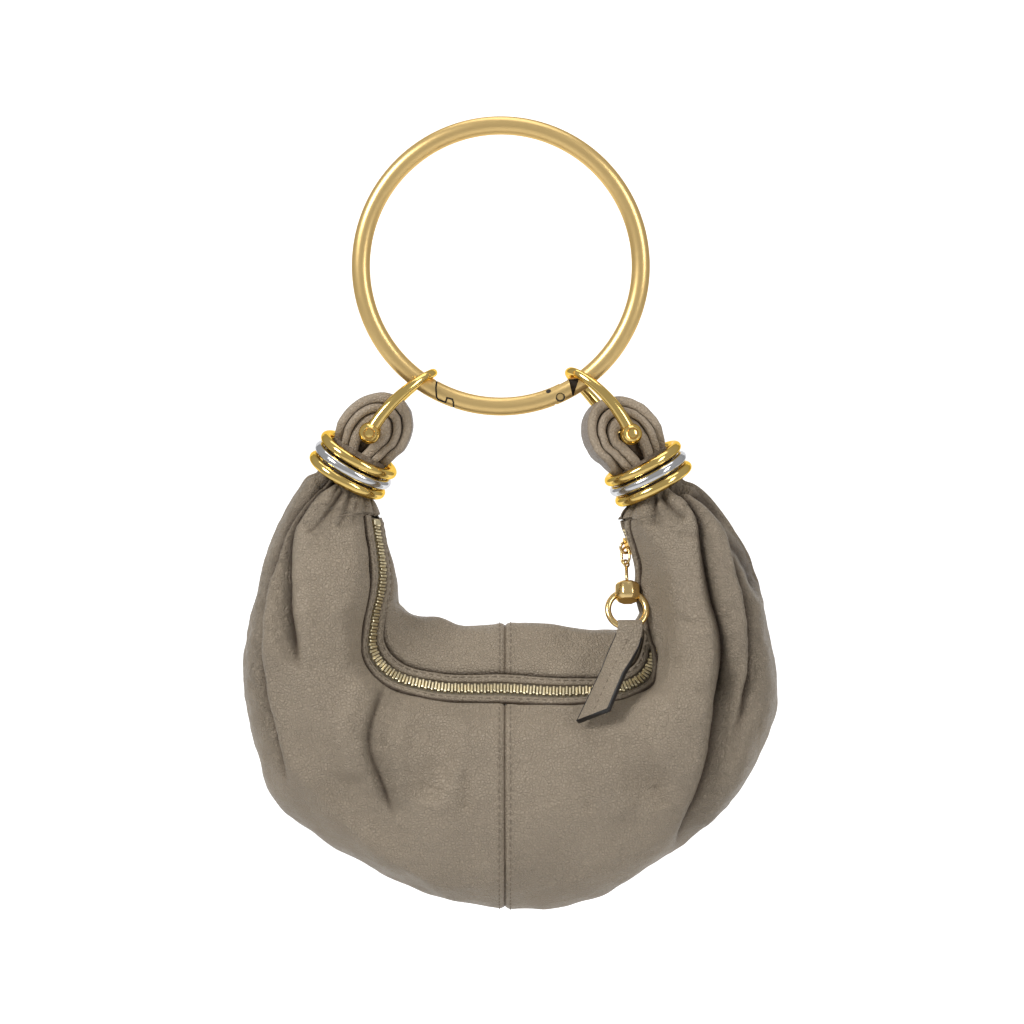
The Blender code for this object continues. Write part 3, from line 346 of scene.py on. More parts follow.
def leather_material(name="leather", base=(0.330, 0.268, 0.196), grain=1.0):
    """Pebbled calf leather: cells of grain, wrinkles where it is worn, and painted shade: a darker tone in
    the creases, seams and gaps.
    """
    made, tree, shader = new_material(name)
    coords = object_coords(tree)
    warped = add(tree, "ShaderNodeVectorMath", operation="MULTIPLY_ADD")
    tree.links.new(noise(tree, coords, 300.0, 2.0).node.outputs["Color"], warped.inputs[0])
    warped.inputs[1].default_value = (0.0014, 0.0014, 0.0014)
    tree.links.new(coords, warped.inputs[2])

    def cell_edges(scale):
        cells = add(tree, "ShaderNodeTexVoronoi", feature="DISTANCE_TO_EDGE", Scale=scale)
        tree.links.new(warped.outputs[0], cells.inputs["Vector"])
        return cells.outputs["Distance"]

    def field(label):
        return add(tree, "ShaderNodeAttribute", attribute_name=label).outputs["Fac"]

    cells = cell_edges(680.0)
    crackle = noise(tree, coords, 260.0, 5.0, 0.62, 1.6)
    lines = ramp(tree, crackle, [(0.36, 1.0), (0.46, 0.25), (0.52, 0.0), (0.60, 0.6), (0.72, 1.0)])
    wrinkles = math_node(tree, "MULTIPLY", lines, math_node(tree, "ADD", field("wear"), 0.25))
    valleys = ramp(tree, cell_edges(250.0), [(0.0, 0.0), (0.12, 1.0)])
    waves = noise(tree, coords, 60.0, 3.0, 0.5, 0.6)
    height = math_node(tree, "MULTIPLY", ramp(tree, cells, [(0.0, 0.0), (0.14, 0.7), (0.45, 1.0)]), 0.55)
    for relief, share in ((valleys, 0.30), (wrinkles, 0.75), (waves, 1.6)):
        height = math_node(tree, "ADD", height, math_node(tree, "MULTIPLY", relief, share))
    add_bump(tree, shader, height, 1.0, 0.00075 * grain)

    tone = ramp(tree, noise(tree, coords, 18.0, 4.0, 0.6), [(0.35, 0.0), (0.68, 1.0)])
    colour = mix(tree, tone, scaled(base, 0.93), scaled(base, 1.05))
    colour = mix(tree, 0.35, colour, ramp(tree, cells, [(0.0, 0.72), (0.10, 1.0)]), "MULTIPLY")
    # Painted shade: the marked creases, seams and gaps are mixed toward a dark warm brown.
    deep = (base[0] * 0.20, base[1] * 0.15, base[2] * 0.11)
    colour = mix(tree, math_node(tree, "MULTIPLY", field("painted_shade"), 0.90), colour, deep)
    tree.links.new(colour, shader.inputs["Base Color"])
    tree.links.new(ramp(tree, crackle, [(0.3, 0.36), (0.7, 0.52)]), shader.inputs["Roughness"])
    shader.inputs["Specular IOR Level"].default_value = 0.45
    return made


def metal_material(name, colour, rough=0.16, scratch=0.05, metallic=1.0):
    """Polished plate with faint scuffs and slow changes of tone."""
    made, tree, shader = new_material(name)
    coords = object_coords(tree)
    scuffs = noise(tree, coords, 420.0, 4.0, 0.65, 1.5)
    tinted = mix(tree, noise(tree, coords, 22.0, 3.0), scaled(colour, 0.93), scaled(colour, 1.05))
    tree.links.new(tinted, shader.inputs["Base Color"])
    tree.links.new(ramp(tree, scuffs, [(0.35, rough), (0.75, rough + scratch)]), shader.inputs["Roughness"])
    add_bump(tree, shader, scuffs, 0.08, 0.00008)
    shader.inputs["Metallic"].default_value = metallic
    shader.inputs["Specular Tint"].default_value = (*[min(1.0, c**0.8) for c in colour], 1.0)
    return made


def plain_material(name, colour, roughness, grain_scale=900.0, strength=0.3):
    made, tree, shader = new_material(name)
    grain = noise(tree, object_coords(tree), grain_scale, 3.0)
    tinted = mix(tree, grain, scaled(colour, 0.8), scaled(colour, 1.2))
    tree.links.new(tinted, shader.inputs["Base Color"])
    shader.inputs["Roughness"].default_value = roughness
    add_bump(tree, shader, grain, strength, 0.0002)
    return made


LEATHER = leather_material()
# Painted light: the loops use the body's leather made about a fifth lighter, which lifts their tone.
LIGHTENED_LOOP_LEATHER = leather_material("lightened_loop_leather", (0.395, 0.318, 0.232), 0.7)
GOLD = metal_material("gold", (0.84, 0.61, 0.27), 0.18)
RING_GOLD = metal_material("ring_gold", (0.78, 0.555, 0.235), 0.32, 0.06, 0.86)
BRIGHT_GOLD = metal_material("bright_gold", (0.84, 0.60, 0.20), 0.10)
SILVER = metal_material("silver", (0.66, 0.66, 0.67), 0.10)
TEETH = metal_material("teeth", (0.86, 0.76, 0.52), 0.28)
TAPE = plain_material("tape", (0.16, 0.135, 0.095), 0.85, 1400.0, 0.5)
THREAD = plain_material("thread", (0.20, 0.16, 0.115), 0.6, 2200.0, 0.4)
EDGE_PAINT = plain_material("edge_paint", (0.012, 0.011, 0.011), 0.35, 500.0, 0.1)
SHADOW = plain_material("shadow", (0.03, 0.025, 0.02), 0.9)


# Mesh helpers


def finish(
    name, points, faces, material, body="bag", smooth=True, angle=None, ride=True, node=None, slot=None
):
    """An object from points in millimetres, its faces turned outward, that may stand in for a node."""
    mesh = bpy.data.meshes.new(name)
    mesh.from_pydata((np.asarray(points, float) * MM).tolist(), [], faces)
    shape = bmesh.new()
    shape.from_mesh(mesh)
    bmesh.ops.recalc_face_normals(shape, faces=shape.faces)
    shape.to_mesh(mesh)
    shape.free()
    made = bpy.data.objects.new(name, mesh)
    bpy.context.collection.objects.link(made)
    mesh.materials.append(material)
    if smooth:
        mesh.shade_smooth()
    if angle:
        mesh.set_sharp_from_angle(angle=rad(angle))
    if ride:
        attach(made, body)
    if node:
        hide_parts(node)
    return made


def mark(made, label, values):
    """Stores a value from 0 to 1 at each point for the leather to read."""
    attribute = made.data.attributes.new(label, "FLOAT", "POINT")
    attribute.data.foreach_set("value", np.asarray(values, np.float32))


def cut(target, other, operation):
    """A Boolean step, applied at once."""
    step = target.modifiers.new(operation.lower(), "BOOLEAN")
    step.operation = operation
    step.solver = "EXACT"
    step.object = other
    bpy.context.view_layer.update()
    graph = bpy.context.evaluated_depsgraph_get()
    mesh = bpy.data.meshes.new_from_object(target.evaluated_get(graph))
    target.modifiers.clear()
    target.data = mesh
    bpy.data.objects.remove(other)
    return target


def ring_faces(rows, sides, closed):
    faces = []
    for i in range(rows if closed else rows - 1):
        k = (i + 1) % rows
        for j in range(sides):
            m = (j + 1) % sides
            faces.append((i * sides + j, i * sides + m, k * sides + m, k * sides + j))
    if not closed:
        faces.append(tuple(range(sides)))
        faces.append(tuple((rows - 1) * sides + j for j in range(sides)))
    return faces


class Heap:
    """Points and faces of several closed lengths, gathered for one object."""

    def __init__(self):
        self.points = []
        self.faces = []

    def add(self, points, rows, sides):
        offset = len(self.points)
        self.points.extend(points)
        self.faces += [tuple(offset + k for k in face) for face in ring_faces(rows, sides, False)]


def swept_points(path, across, up, outlines):
    points = []
    for place, a, b, outline in zip(path, across, up, outlines):
        outline = np.asarray(outline)
        points.append(np.asarray(place) + outline[:, :1] * np.asarray(a) + outline[:, 1:] * np.asarray(b))
    return np.concatenate(points)


def swept(name, path, across, up, outlines, material, closed=False, **options):
    points = swept_points(path, across, up, outlines)
    return finish(name, points, ring_faces(len(path), len(outlines[0]), closed), material, **options)


def circle(radius, sides):
    angles = [2 * math.pi * k / sides for k in range(sides)]
    return [(radius * math.cos(a), radius * math.sin(a)) for a in angles]


def torus(name, centre, normal, start, radius, wire, segments, sides, material, **options):
    normal = unit(normal)
    first = unit(np.asarray(start) - np.dot(start, normal) * normal)
    second = np.cross(normal, first)
    angles = [2 * math.pi * k / segments for k in range(segments)]
    out = [math.cos(a) * first + math.sin(a) * second for a in angles]
    path = [np.asarray(centre) + radius * d for d in out]
    outlines = [circle(wire / 2, sides)] * segments
    return swept(name, path, out, [normal] * segments, outlines, material, closed=True, **options)


def cylinder(name, start, end, radius, sides, material, bevel=0.0, **options):
    axis = unit(np.asarray(end) - np.asarray(start))
    first = unit(np.cross(axis, (0.3, 0.2, 1.0)))
    second = np.cross(axis, first)
    rows = [(0.0, radius - bevel), (bevel, radius)] if bevel else [(0.0, radius)]
    length = float(np.linalg.norm(np.asarray(end) - np.asarray(start)))
    rows = rows + [(length - t, r) for t, r in rows[::-1]]
    path = [np.asarray(start) + t * axis for t, _ in rows]
    outlines = [circle(r, sides) for _, r in rows]
    return swept(name, path, [first] * len(rows), [second] * len(rows), outlines, material, **options)


def prism(name, outline, front, back, material):
    count = len(outline)
    points = [(x, front, z) for x, z in outline] + [(x, back, z) for x, z in outline]
    faces = [tuple(range(count)), tuple(range(count, 2 * count))]
    faces += [(k, (k + 1) % count, count + (k + 1) % count, count + k) for k in range(count)]
    return finish(name, points, faces, material, ride=False, smooth=False)


def offset_line(line, distance):
    line = np.asarray(line, float)
    moved = []
    for k in range(len(line)):
        before = unit(line[k] - line[k - 1]) if k else unit(line[1] - line[0])
        after = unit(line[k + 1] - line[k]) if k < len(line) - 1 else before
        side_before = np.array([-before[1], before[0]])
        side_after = np.array([-after[1], after[0]])
        mitre = unit(side_before + side_after)
        moved.append(line[k] + mitre * distance / max(0.5, np.dot(mitre, side_after)))
    return [tuple(p) for p in moved]


def curve_value(xs, ys, x):
    k = int(np.clip(np.searchsorted(xs, x) - 1, 0, len(xs) - 2))
    width = xs[k + 1] - xs[k]
    t = (x - xs[k]) / width

    def slope(i):
        low, high = max(i - 1, 0), min(i + 1, len(xs) - 1)
        return (ys[high] - ys[low]) / (xs[high] - xs[low])

    a, b, c, d = 2 * t**3 - 3 * t**2 + 1, t**3 - 2 * t**2 + t, 3 * t**2 - 2 * t**3, t**3 - t**2
    return a * ys[k] + b * width * slope(k) + c * ys[k + 1] + d * width * slope(k + 1)


def smooth_line(points, count):
    """A line through the points, evenly rounded."""
    points = np.asarray(points, float)
    if len(points) == 2:
        return points[0] + np.linspace(0, 1, count)[:, None] * (points[1] - points[0])
    lengths = run_lengths(points)
    wanted = np.linspace(0, lengths[-1], count)
    return np.array([[curve_value(lengths, field, t) for field in points.T] for t in wanted])


# Body sections


class Profile:
    """One closed section of the body, told by the length round it from the zip, toward the back first."""

    def __init__(self, angle):
        angles = [s.angle for s in SECTIONS]
        s = Section(angle, *[curve_value(angles, field, angle) for field in list(zip(*SECTIONS))[1:]])
        self.angle = angle
        self.inner = s.inner * BODY_RADIUS
        self.outer = s.outer * BODY_RADIUS
        half = s.depth * BODY_HALF_DEPTH
        z_in, z_back, crest = s.zip_in, s.zip_back, s.crest_back
        rise = 0.62 - z_in
        shares = [
            (z_in, z_back),
            (0.42 * z_in, 0.45 * z_back + 0.55 * crest - 0.10),
            (0.0, crest),
            (0.15, crest + 0.72 * (1 - crest)),
            (0.50, 1.0),
            (0.84, 0.76),
            (1.0, 0.03),
            (0.90, -0.70),
            (0.62, -1.0),
            (z_in + 0.42 * rise, -0.86),
            (z_in + 0.15 * rise, z_back - 0.42 * (0.86 + z_back)),
        ]
        keys = np.array([(self.inner + u * (self.outer - self.inner), v * half) for u, v in shares])
        count = len(keys)
        t = (np.arange(16) / 16)[:, None]
        parts = []
        for k in range(count):
            p0, p1, p2, p3 = (keys[(k + j - 1) % count] for j in range(4))
            square = (2 * p0 - 5 * p1 + 4 * p2 - p3) * t**2
            cube = (3 * p1 - p0 - 3 * p2 + p3) * t**3
            parts.append(0.5 * (2 * p1 + (p2 - p0) * t + square + cube))
        self.points = np.concatenate(parts + [keys[:1]])
        self.lengths = run_lengths(self.points)
        self.total = float(self.lengths[-1])
        self.outer_length = float(self.lengths[6 * 16])

    def places(self, lengths):
        lengths = np.asarray(lengths, float) % self.total
        radius = np.interp(lengths, self.lengths, self.points[:, 0])
        y = np.interp(lengths, self.lengths, self.points[:, 1])
        c, s = math.cos(rad(self.angle)), math.sin(rad(self.angle))
        return np.stack([HOLE_X + radius * c, y, HOLE_Z + radius * s], axis=-1)


def strip_grid(angles, lengths_at):
    """Places and outward directions for rows of sections; lengths_at gives each section's lengths."""
    places = []
    ways = []
    for angle in angles:
        here, low, high = Profile(angle), Profile(angle - 0.5), Profile(angle + 0.5)
        lengths = lengths_at(here)
        places.append(here.places(lengths))
        along = high.places(lengths_at(high)) - low.places(lengths_at(low))
        around = here.places(lengths + 0.6) - here.places(lengths - 0.6)
        way = np.cross(along, around)
        ways.append(way / np.linalg.norm(way, axis=1)[:, None])
    return np.array(places), np.array(ways)


def grid_faces(rows, columns, offset=0):
    faces = []
    for i in range(rows - 1):
        for j in range(columns - 1):
            a = offset + i * columns + j
            faces.append((a, a + 1, a + columns + 1, a + columns))
    return faces


def line_distance(points, line):
    """Distance to a line, which side of it each point is on, and how far along it."""
    best = np.full(len(points), 1e9)
    side = np.zeros(len(points))
    share = np.zeros(len(points))
    steps = np.linspace(0, 1, len(line))
    for k in range(len(line) - 1):
        a, b = line[k], line[k + 1]
        run = b - a
        t = np.clip(((points - a) @ run) / max(1e-9, run @ run), 0, 1)
        apart = points - (a + t[:, None] * run)
        distance = np.linalg.norm(apart, axis=1)
        nearer = distance < best
        best = np.where(nearer, distance, best)
        turn = run[0] * apart[:, 1] - run[1] * apart[:, 0]
        side = np.where(nearer, np.sign(turn), side)
        share = np.where(nearer, steps[k] + t * (steps[k + 1] - steps[k]), share)
    return best, side, share


def fold_field(points, side):
    """How deep the folds of one side press in, how much painted shade each place gets along the deeper
    creases, and how worn it is.
    """
    flat = points[:, [0, 2]] - np.array([HOLE_X, HOLE_Z])
    press = np.zeros(len(points))
    painted_shade = np.zeros(len(points))
    wear = np.zeros(len(points))
    for fold in FOLDS:
        if fold.side != side:
            continue
        line = smooth_line(np.reshape(fold.line, (-1, 2)), 36)
        reach = 3.0 * max(fold.width_a, fold.width_b)
        near = np.all((flat > line.min(0) - reach) & (flat < line.max(0) + reach), axis=1)
        if not near.any():
            continue
        distance, sign, share = line_distance(flat[near], line)
        depth = fold.depth_a + (fold.depth_b - fold.depth_a) * share
        width = (fold.width_a + (fold.width_b - fold.width_a) * share) * (1 - fold.lean * sign)
        start = 1.0 if math.hypot(*fold.line[:2]) > 78.0 and fold.line[1] > 25 else 0.02
        ends = smooth_step(np.clip(np.minimum(share + start, 1 - share) / 0.2, 0, 1))
        ends = ends * np.exp(-((np.clip(distance - width, 0, None) / (2.5 * width)) ** 2))
        press[near] += depth * np.exp(-((distance / width) ** fold.sharp)) * ends
        # Painted shade along the deeper, sharper creases, where they would fall into shadow.
        if fold.depth_a > 2.0 and fold.sharp < 1.6:
            sunk = np.clip(depth / 5, 0, 1) * ends
            painted_shade[near] = np.maximum(painted_shade[near], sunk * np.exp(-((distance / (0.20 * depth + 0.5)) ** 2)))
            wear[near] = np.maximum(wear[near], ends * np.exp(-((distance / (1.6 * width + 4)) ** 2)))
    return press, painted_shade, wear


def ripples(points, scale, seed, count=7):
    """A soft field of waves with no repeat, from -1 to 1."""
    chance = np.random.default_rng(seed)
    total = np.zeros(len(points))
    for _ in range(count):
        direction = unit(chance.normal(size=3))
        wave = scale * chance.uniform(0.6, 1.6)
        total += np.sin(points @ direction * (2 * math.pi / wave) + chance.uniform(0, 6.28))
    return total / count**0.5


def lip_rise(angle):
    """How far the front edge folds over the zip, only on the right-hand side."""
    angles = [320.0, 326.0, 332.0, 345.0, 356.0, 371.0, 379.0]
    shares = [0.0, 0.5, 1.0, 1.0, 0.55, 0.33, 0.0]
    return LIP_RISE * curve_value(angles, shares, min(max(angle, angles[0]), angles[-1]))


def fade(distance, reach):
    """1 up to a distance of 0, then falling off over the reach."""
    return np.exp(-np.clip(distance, 0, None) / reach)


def body_half(name, start, end, rows, columns_back, columns_front):
    """One half of the body: its outer face in detail, with its edges turned in."""
    left = start < 270
    pace = np.linspace(0, 1, rows)
    pace = pace - 0.065 * np.sin(2 * math.pi * pace)
    angles = start + (end - start) * pace

    def lengths_at(profile):
        opening = np.clip((min(profile.angle - OPEN_FROM, OPEN_TO - profile.angle) + 0.2) / 1.2, 0, 1)
        edge = GAP / 2 + (BODY_EDGE - GAP / 2) * smooth_step(opening)
        back = np.linspace(edge, profile.outer_length, columns_back + 1)
        front = np.linspace(profile.outer_length, profile.total - edge, columns_front + 1)[1:]
        return np.concatenate([back, front])

    places, ways = strip_grid(angles, lengths_at)
    columns = places.shape[1]
    from_zip = np.array([np.minimum(lengths_at(p), p.total - lengths_at(p)) for p in map(Profile, angles)])
    flat = places.reshape(-1, 3)
    way = ways.reshape(-1, 3)
    from_edge = from_zip.reshape(-1) - BODY_EDGE
    angle_of = np.repeat(angles, columns)
    column = np.tile(np.arange(columns), rows)
    is_back = column < columns_back
    press = np.zeros(len(flat))
    painted_shade = np.zeros(len(flat))
    wear = np.zeros(len(flat))
    for side, chosen in (("front", ~is_back), ("back", is_back)):
        press[chosen], painted_shade[chosen], wear[chosen] = fold_field(flat[chosen], side)
    edge_fade = np.clip((from_edge - 1.5) / 12.0, 0, 1)
    round_over = np.clip(1.0 - np.abs(way[:, 1]), 0, 1)
    neck_angle = angle_of - 156.0 if left else 383.0 - angle_of
    near_neck = fade(neck_angle - 4.0, 10.0)
    press = press * np.maximum(edge_fade, near_neck * 0.6) * (1 - 0.55 * round_over**3)

    number = 11 if left else 10
    wander = 0.5 * np.sin(neck_angle / 6.0 + (0 if left else 2.0))
    turn = column / columns
    pleats = np.abs(np.sin(math.pi * number * turn + wander + 0.8 * np.sin(2 * math.pi * 3 * turn)))
    gather = fade(neck_angle, 7.5) * np.clip((neck_angle + 3.0) / 3.0, 0, 1)
    press += gather * 1.5 * (1 - pleats**0.7)
    # Painted shade in the valleys of the gathered pleats at the neck.
    painted_shade = np.maximum(painted_shade, 0.8 * gather * (1 - pleats**0.25))
    wear = np.maximum(wear, 0.3 * near_neck)

    slack = np.clip(neck_angle / 25.0, 0, 1) * edge_fade
    waves = 1.1 * ripples(flat, 60.0, 3) + 0.50 * ripples(flat, 26.0, 5) + 0.12 * ripples(flat, 11.0, 8)
    press += slack * waves
    press += 0.10 * slack * (0.4 + wear) * ripples(flat, 5.0, 9)
    from_hole = np.linalg.norm(flat[:, [0, 2]] - [HOLE_X, HOLE_Z], axis=1)
    seam = np.abs(angle_of - 270.0) * math.pi / 180 * from_hole
    press += 1.0 * np.exp(-((seam / 0.9) ** 1.5)) - 0.35 * np.exp(-(((seam - 3.0) / 2.6) ** 2))
    # Painted shade along the centre seam between the two halves.
    painted_shade = np.maximum(painted_shade, 0.6 * np.exp(-((seam / 0.5) ** 2)))
    # Painted shade in a thin line at the edge where the body meets the facing.
    painted_shade = np.maximum(painted_shade, 0.7 * np.exp(-((from_edge / 0.5) ** 2)) * (neck_angle > 6))
    for bulge in BULGES:
        spot = np.array([HOLE_X + bulge.x, HOLE_Z + bulge.z])
        share = np.linalg.norm(flat[:, [0, 2]] - spot, axis=1) / bulge.radius
        press -= bulge.rise * np.exp(-(share**2)) * round_over**2
    press += 1.7 * fade(from_edge, 1.0) * (neck_angle > 6)
    pucker = fade(from_edge, 7.0) * np.clip(neck_angle / 12.0, 0, 1)
    press += 0.35 * pucker * ripples(flat, 16.0, 12)
    lip = np.array([lip_rise(angle) for angle in angles])
    press -= np.repeat(lip, columns) * ~is_back * fade(from_edge, 11.0)
    moved = flat - press[:, None] * way
    seam_row = np.zeros(len(flat), bool)
    seam_row[-columns:] = True
    moved[seam_row, 0] = HOLE_X + (-SEAM_GAP / 2 if left else SEAM_GAP / 2)

    turned = moved.reshape(rows, columns, 3)
    inward = way.reshape(rows, columns, 3)
    border = [(0, j) for j in range(columns)] + [(i, columns - 1) for i in range(1, rows)]
    border += [(rows - 1, j) for j in range(columns - 2, -1, -1)] + [(i, 0) for i in range(rows - 2, 0, -1)]
    points = list(turned.reshape(-1, 3))
    first_rim = len(points)
    for i, j in border:
        points.append(turned[i, j] - EDGE_TURN * inward[i, j])
    faces = grid_faces(rows, columns)
    for k, (i, j) in enumerate(border):
        m = (k + 1) % len(border)
        a, b = i * columns + j, border[m][0] * columns + border[m][1]
        faces.append((a, b, first_rim + m, first_rim + k))
    made = finish(name, points, faces, LEATHER, node=name, slot="taupe_leather")
    for label, field in (("painted_shade", painted_shade), ("wear", wear)):
        mark(made, label, np.concatenate([np.clip(field, 0, 1), np.zeros(len(border))]))
    return made


BODY_ROWS, BODY_BACK, BODY_FRONT = 300, 110, 190
LEFT_HALF = body_half("body_left", 149.9, 270.0, BODY_ROWS, BODY_BACK, BODY_FRONT)
RIGHT_HALF = body_half("body_right", 387.9, 270.0, BODY_ROWS, BODY_BACK, BODY_FRONT)


# Facings, tape, teeth and stitches


def band(name, sign):
    """A leather band beside the zip with rounded edges and a slight hollow along its stitches."""
    shares = np.array([0.0, 0.02, 0.08, 0.2, 0.35, 0.5, 0.65, 0.8, 0.92, 0.98, 1.0])
    heights = BAND_RISE * np.array([-3.2, -1.2, -0.2, 0.5, 0.7, 0.62, 0.7, 0.5, -0.2, -1.2, -3.2])
    # Painted shade at both edges of the band: against the teeth and, darker, against the body.
    painted_shades = [0.6, 0.3, 0.0, 0.0, 0.0, 0.0, 0.0, 0.0, 0.2, 0.8, 1.0]
    angles = np.linspace(OPEN_FROM + 0.4, OPEN_TO - 0.4, BAND_ROWS)
    width = FACING_OUTER_EDGE - FACING_INNER_EDGE
    places, ways = strip_grid(angles, lambda p: sign * (FACING_INNER_EDGE + shares * width))
    wave = 0.12 * ripples(places.reshape(-1, 3), 14.0, 11).reshape(places.shape[:2])
    lift = np.array([lip_rise(angle) if sign < 0 else 0.0 for angle in angles])[:, None]
    top = places + (heights[None, :] + wave + lift)[..., None] * ways
    faces = grid_faces(BAND_ROWS, len(shares))
    made = finish(name, top.reshape(-1, 3), faces, LEATHER, node=name, slot="taupe_leather")
    mark(made, "painted_shade", np.tile(painted_shades, BAND_ROWS))


band("facing_back", 1)
band("facing_front", -1)


def zip_frames(start, end, count):
    """Evenly spaced places on the zip's middle line, with the ways along, across and out."""
    angles = np.linspace(start, end, 500)
    places, ways = strip_grid(angles, lambda p: np.array([-FACING_INNER_EDGE, 0.0, FACING_INNER_EDGE]))
    middle = (places[:, 0] + places[:, 2]) / 2
    lengths = run_lengths(middle)
    frames = []
    for t in np.linspace(0, lengths[-1], count):
        along = unit(sample(t + 0.4, lengths, middle) - sample(t - 0.4, lengths, middle))
        across = sample(t, lengths, places[:, 2] - places[:, 0])
        across = unit(across - np.dot(across, along) * along)
        out = np.cross(along, across)
        out = out * np.sign(np.dot(out, sample(t, lengths, ways[:, 1])))
        frames.append((sample(t, lengths, middle), along, across, out))
    return frames, float(lengths[-1])


def box_points(centre, x_way, y_way, z_way, size, bevel):
    """The corners of a block with cut edges: eight points round at each of four heights."""
    hx, hy, hz = (s / 2 for s in size)
    c = bevel
    points = []
    for z, inset in [(-hz, c), (-hz + c, 0.0), (hz - c, 0.0), (hz, c)]:
        x, y = hx - inset, hy - inset
        outline = [(x, y - c), (x - c, y), (-x + c, y), (-x, y - c)]
        outline += [(-x, -y + c), (-x + c, -y), (x - c, -y), (x, -y + c)]
        points += [centre + u * x_way + v * y_way + z * z_way for u, v in outline]
    return points


def many_blocks(name, blocks, material, **options):
    heap = Heap()
    for block in blocks:
        heap.add(box_points(*block), 4, 8)
    return finish(name, heap.points, heap.faces, material, angle=30, **options)


_, zip_length = zip_frames(ZIP_START, ZIP_END, 2)
teeth_frames, _ = zip_frames(ZIP_START, ZIP_END, 2 * int(zip_length / TEETH_PITCH))
blocks = []
for k, (place, along, across, out) in enumerate(teeth_frames):
    side = 1 if k % 2 else -1
    blocks.append((place + side * 0.35 * across - 0.25 * out, across, along, out, TOOTH_SIZE, 0.3))
many_blocks("zip_chain", blocks, TEETH, node="zip_chain", slot="pale_gold_metal")

tape_frames, _ = zip_frames(OPEN_FROM + 0.6, ZIP_END, 260)
tape_points = [place + u * across + h * out for place, _, across, out in tape_frames for u, h in TAPE_SHAPE]
tape_faces = grid_faces(len(tape_frames), len(TAPE_SHAPE))
finish("zip_tape", tape_points, tape_faces, TAPE, node="zip_tape", slot="zip_tape")


def stitches(name, frames, thread=STITCH_THREAD, length=STITCH_LENGTH):
    """Short threads that rise from the leather and sink back into it."""
    rows = 7
    heap = Heap()
    for place, along, side, out in frames:
        points = []
        for k in range(rows):
            t = k / (rows - 1) * 2 - 1
            rise = 0.34 * thread - 0.75 * thread * abs(t) ** 3
            centre = place + 0.5 * length * t * along + rise * out
            width = thread / 2 * (1 - 0.35 * abs(t) ** 3)
            points += [centre + u * side + 0.8 * v * out for u, v in circle(width, 8)]
        heap.add(points, rows, 8)
    finish(name, heap.points, heap.faces, THREAD, slot="taupe_leather")


def band_stitches(name, sign):
    angles = np.linspace(OPEN_FROM + 1.2, OPEN_TO - 1.2, 600)
    places, ways = strip_grid(angles, lambda p: np.array([sign * STITCH_LINE]))
    lift = np.array([BAND_STITCH_RISE + (lip_rise(angle) if sign < 0 else 0.0) for angle in angles])
    line = places[:, 0] + lift[:, None] * ways[:, 0]
    lengths = run_lengths(line)
    frames = []
    for t in np.arange(2.0, lengths[-1] - 2.0, STITCH_PITCH):
        along = unit(sample(t + 1.0, lengths, line) - sample(t - 1.0, lengths, line))
        out = unit(sample(t, lengths, ways[:, 0]))
        frames.append((sample(t, lengths, line), along, unit(np.cross(along, out)), out))
    stitches(name, frames)


band_stitches("stitches_back", 1)
band_stitches("stitches_front", -1)


def leather_points(half):
    """The finished leather's points in millimetres."""
    points = np.empty(len(half.data.vertices) * 3)
    half.data.vertices.foreach_get("co", points)
    return points.reshape(-1, 3) / MM


def seam_stitches(name, half, sign):
    """A row of stitches down one side of the centre seam, laid on the finished leather."""
    columns = BODY_BACK + BODY_FRONT + 1
    grid = leather_points(half)[: BODY_ROWS * columns].reshape(BODY_ROWS, columns, 3)
    wanted = HOLE_X + sign * SEAM_STITCH_OFFSET
    line = []
    for j in range(columns):
        column = grid[np.argsort(grid[:, j, 0]), j]
        line.append([wanted] + [np.interp(wanted, column[:, 0], column[:, k]) for k in (1, 2)])
    line = np.array(line)
    lengths = run_lengths(line)
    middle = np.array([HOLE_X, 0.0, HOLE_Z - 0.6 * BODY_RADIUS])
    frames = []
    for t in np.arange(3.0, lengths[-1] - 3.0, STITCH_PITCH):
        place = sample(t, lengths, line)
        along = unit(sample(t + 1.5, lengths, line) - sample(t - 1.5, lengths, line))
        out = unit(np.cross(along, RIGHT))
        out = out if np.dot(out, place - middle) > 0 else -out
        frames.append((place, along, RIGHT, out))
    stitches(name, frames)


def end_stitches():
    """The short row that closes the facings above the zip, on the front of the finished leather."""
    points = leather_points(LEFT_HALF)
    frames = []
    for x in np.arange(-78.0, -61.0, 3.2):
        near = np.hypot(points[:, 0] - x, points[:, 2] - END_ROW_Z) < 1.6
        frames.append((np.array([x, points[near, 1].min() - 0.1, END_ROW_Z]), RIGHT, UP, FRONT))
    stitches("end_stitches", frames, length=2.3)


end_stitches()
seam_stitches("seam_stitches_left", LEFT_HALF, -1)
seam_stitches("seam_stitches_right", RIGHT_HALF, 1)


# Ring handle and gate


def ring_point(angle, offset=0.0):
    radius = HANDLE_RADIUS + offset
    return np.array([radius * math.sin(rad(angle)), HANDLE_Z - radius * math.cos(rad(angle))])


def latch_line(distance):
    steps = [(-6.5, -7.3), (-1.5, -5.8), (2.6, -3.7), (3.5, -2.5), (3.3, 1.5)]
    steps += [(0.9, 1.2), (0.5, 3.9), (1.6, 5.0), (6.5, 7.2)]
    outward = np.array([-math.sin(rad(LATCH_ANGLE)), -math.cos(rad(LATCH_ANGLE))])
    along = np.array([math.cos(rad(LATCH_ANGLE)), -math.sin(rad(LATCH_ANGLE))])
    centre = ring_point(-LATCH_ANGLE)
    return offset_line([centre + r * outward + t * along for r, t in steps], distance)


def hinge_centre():
    return ring_point(HINGE_ANGLE, HINGE_OFFSET)


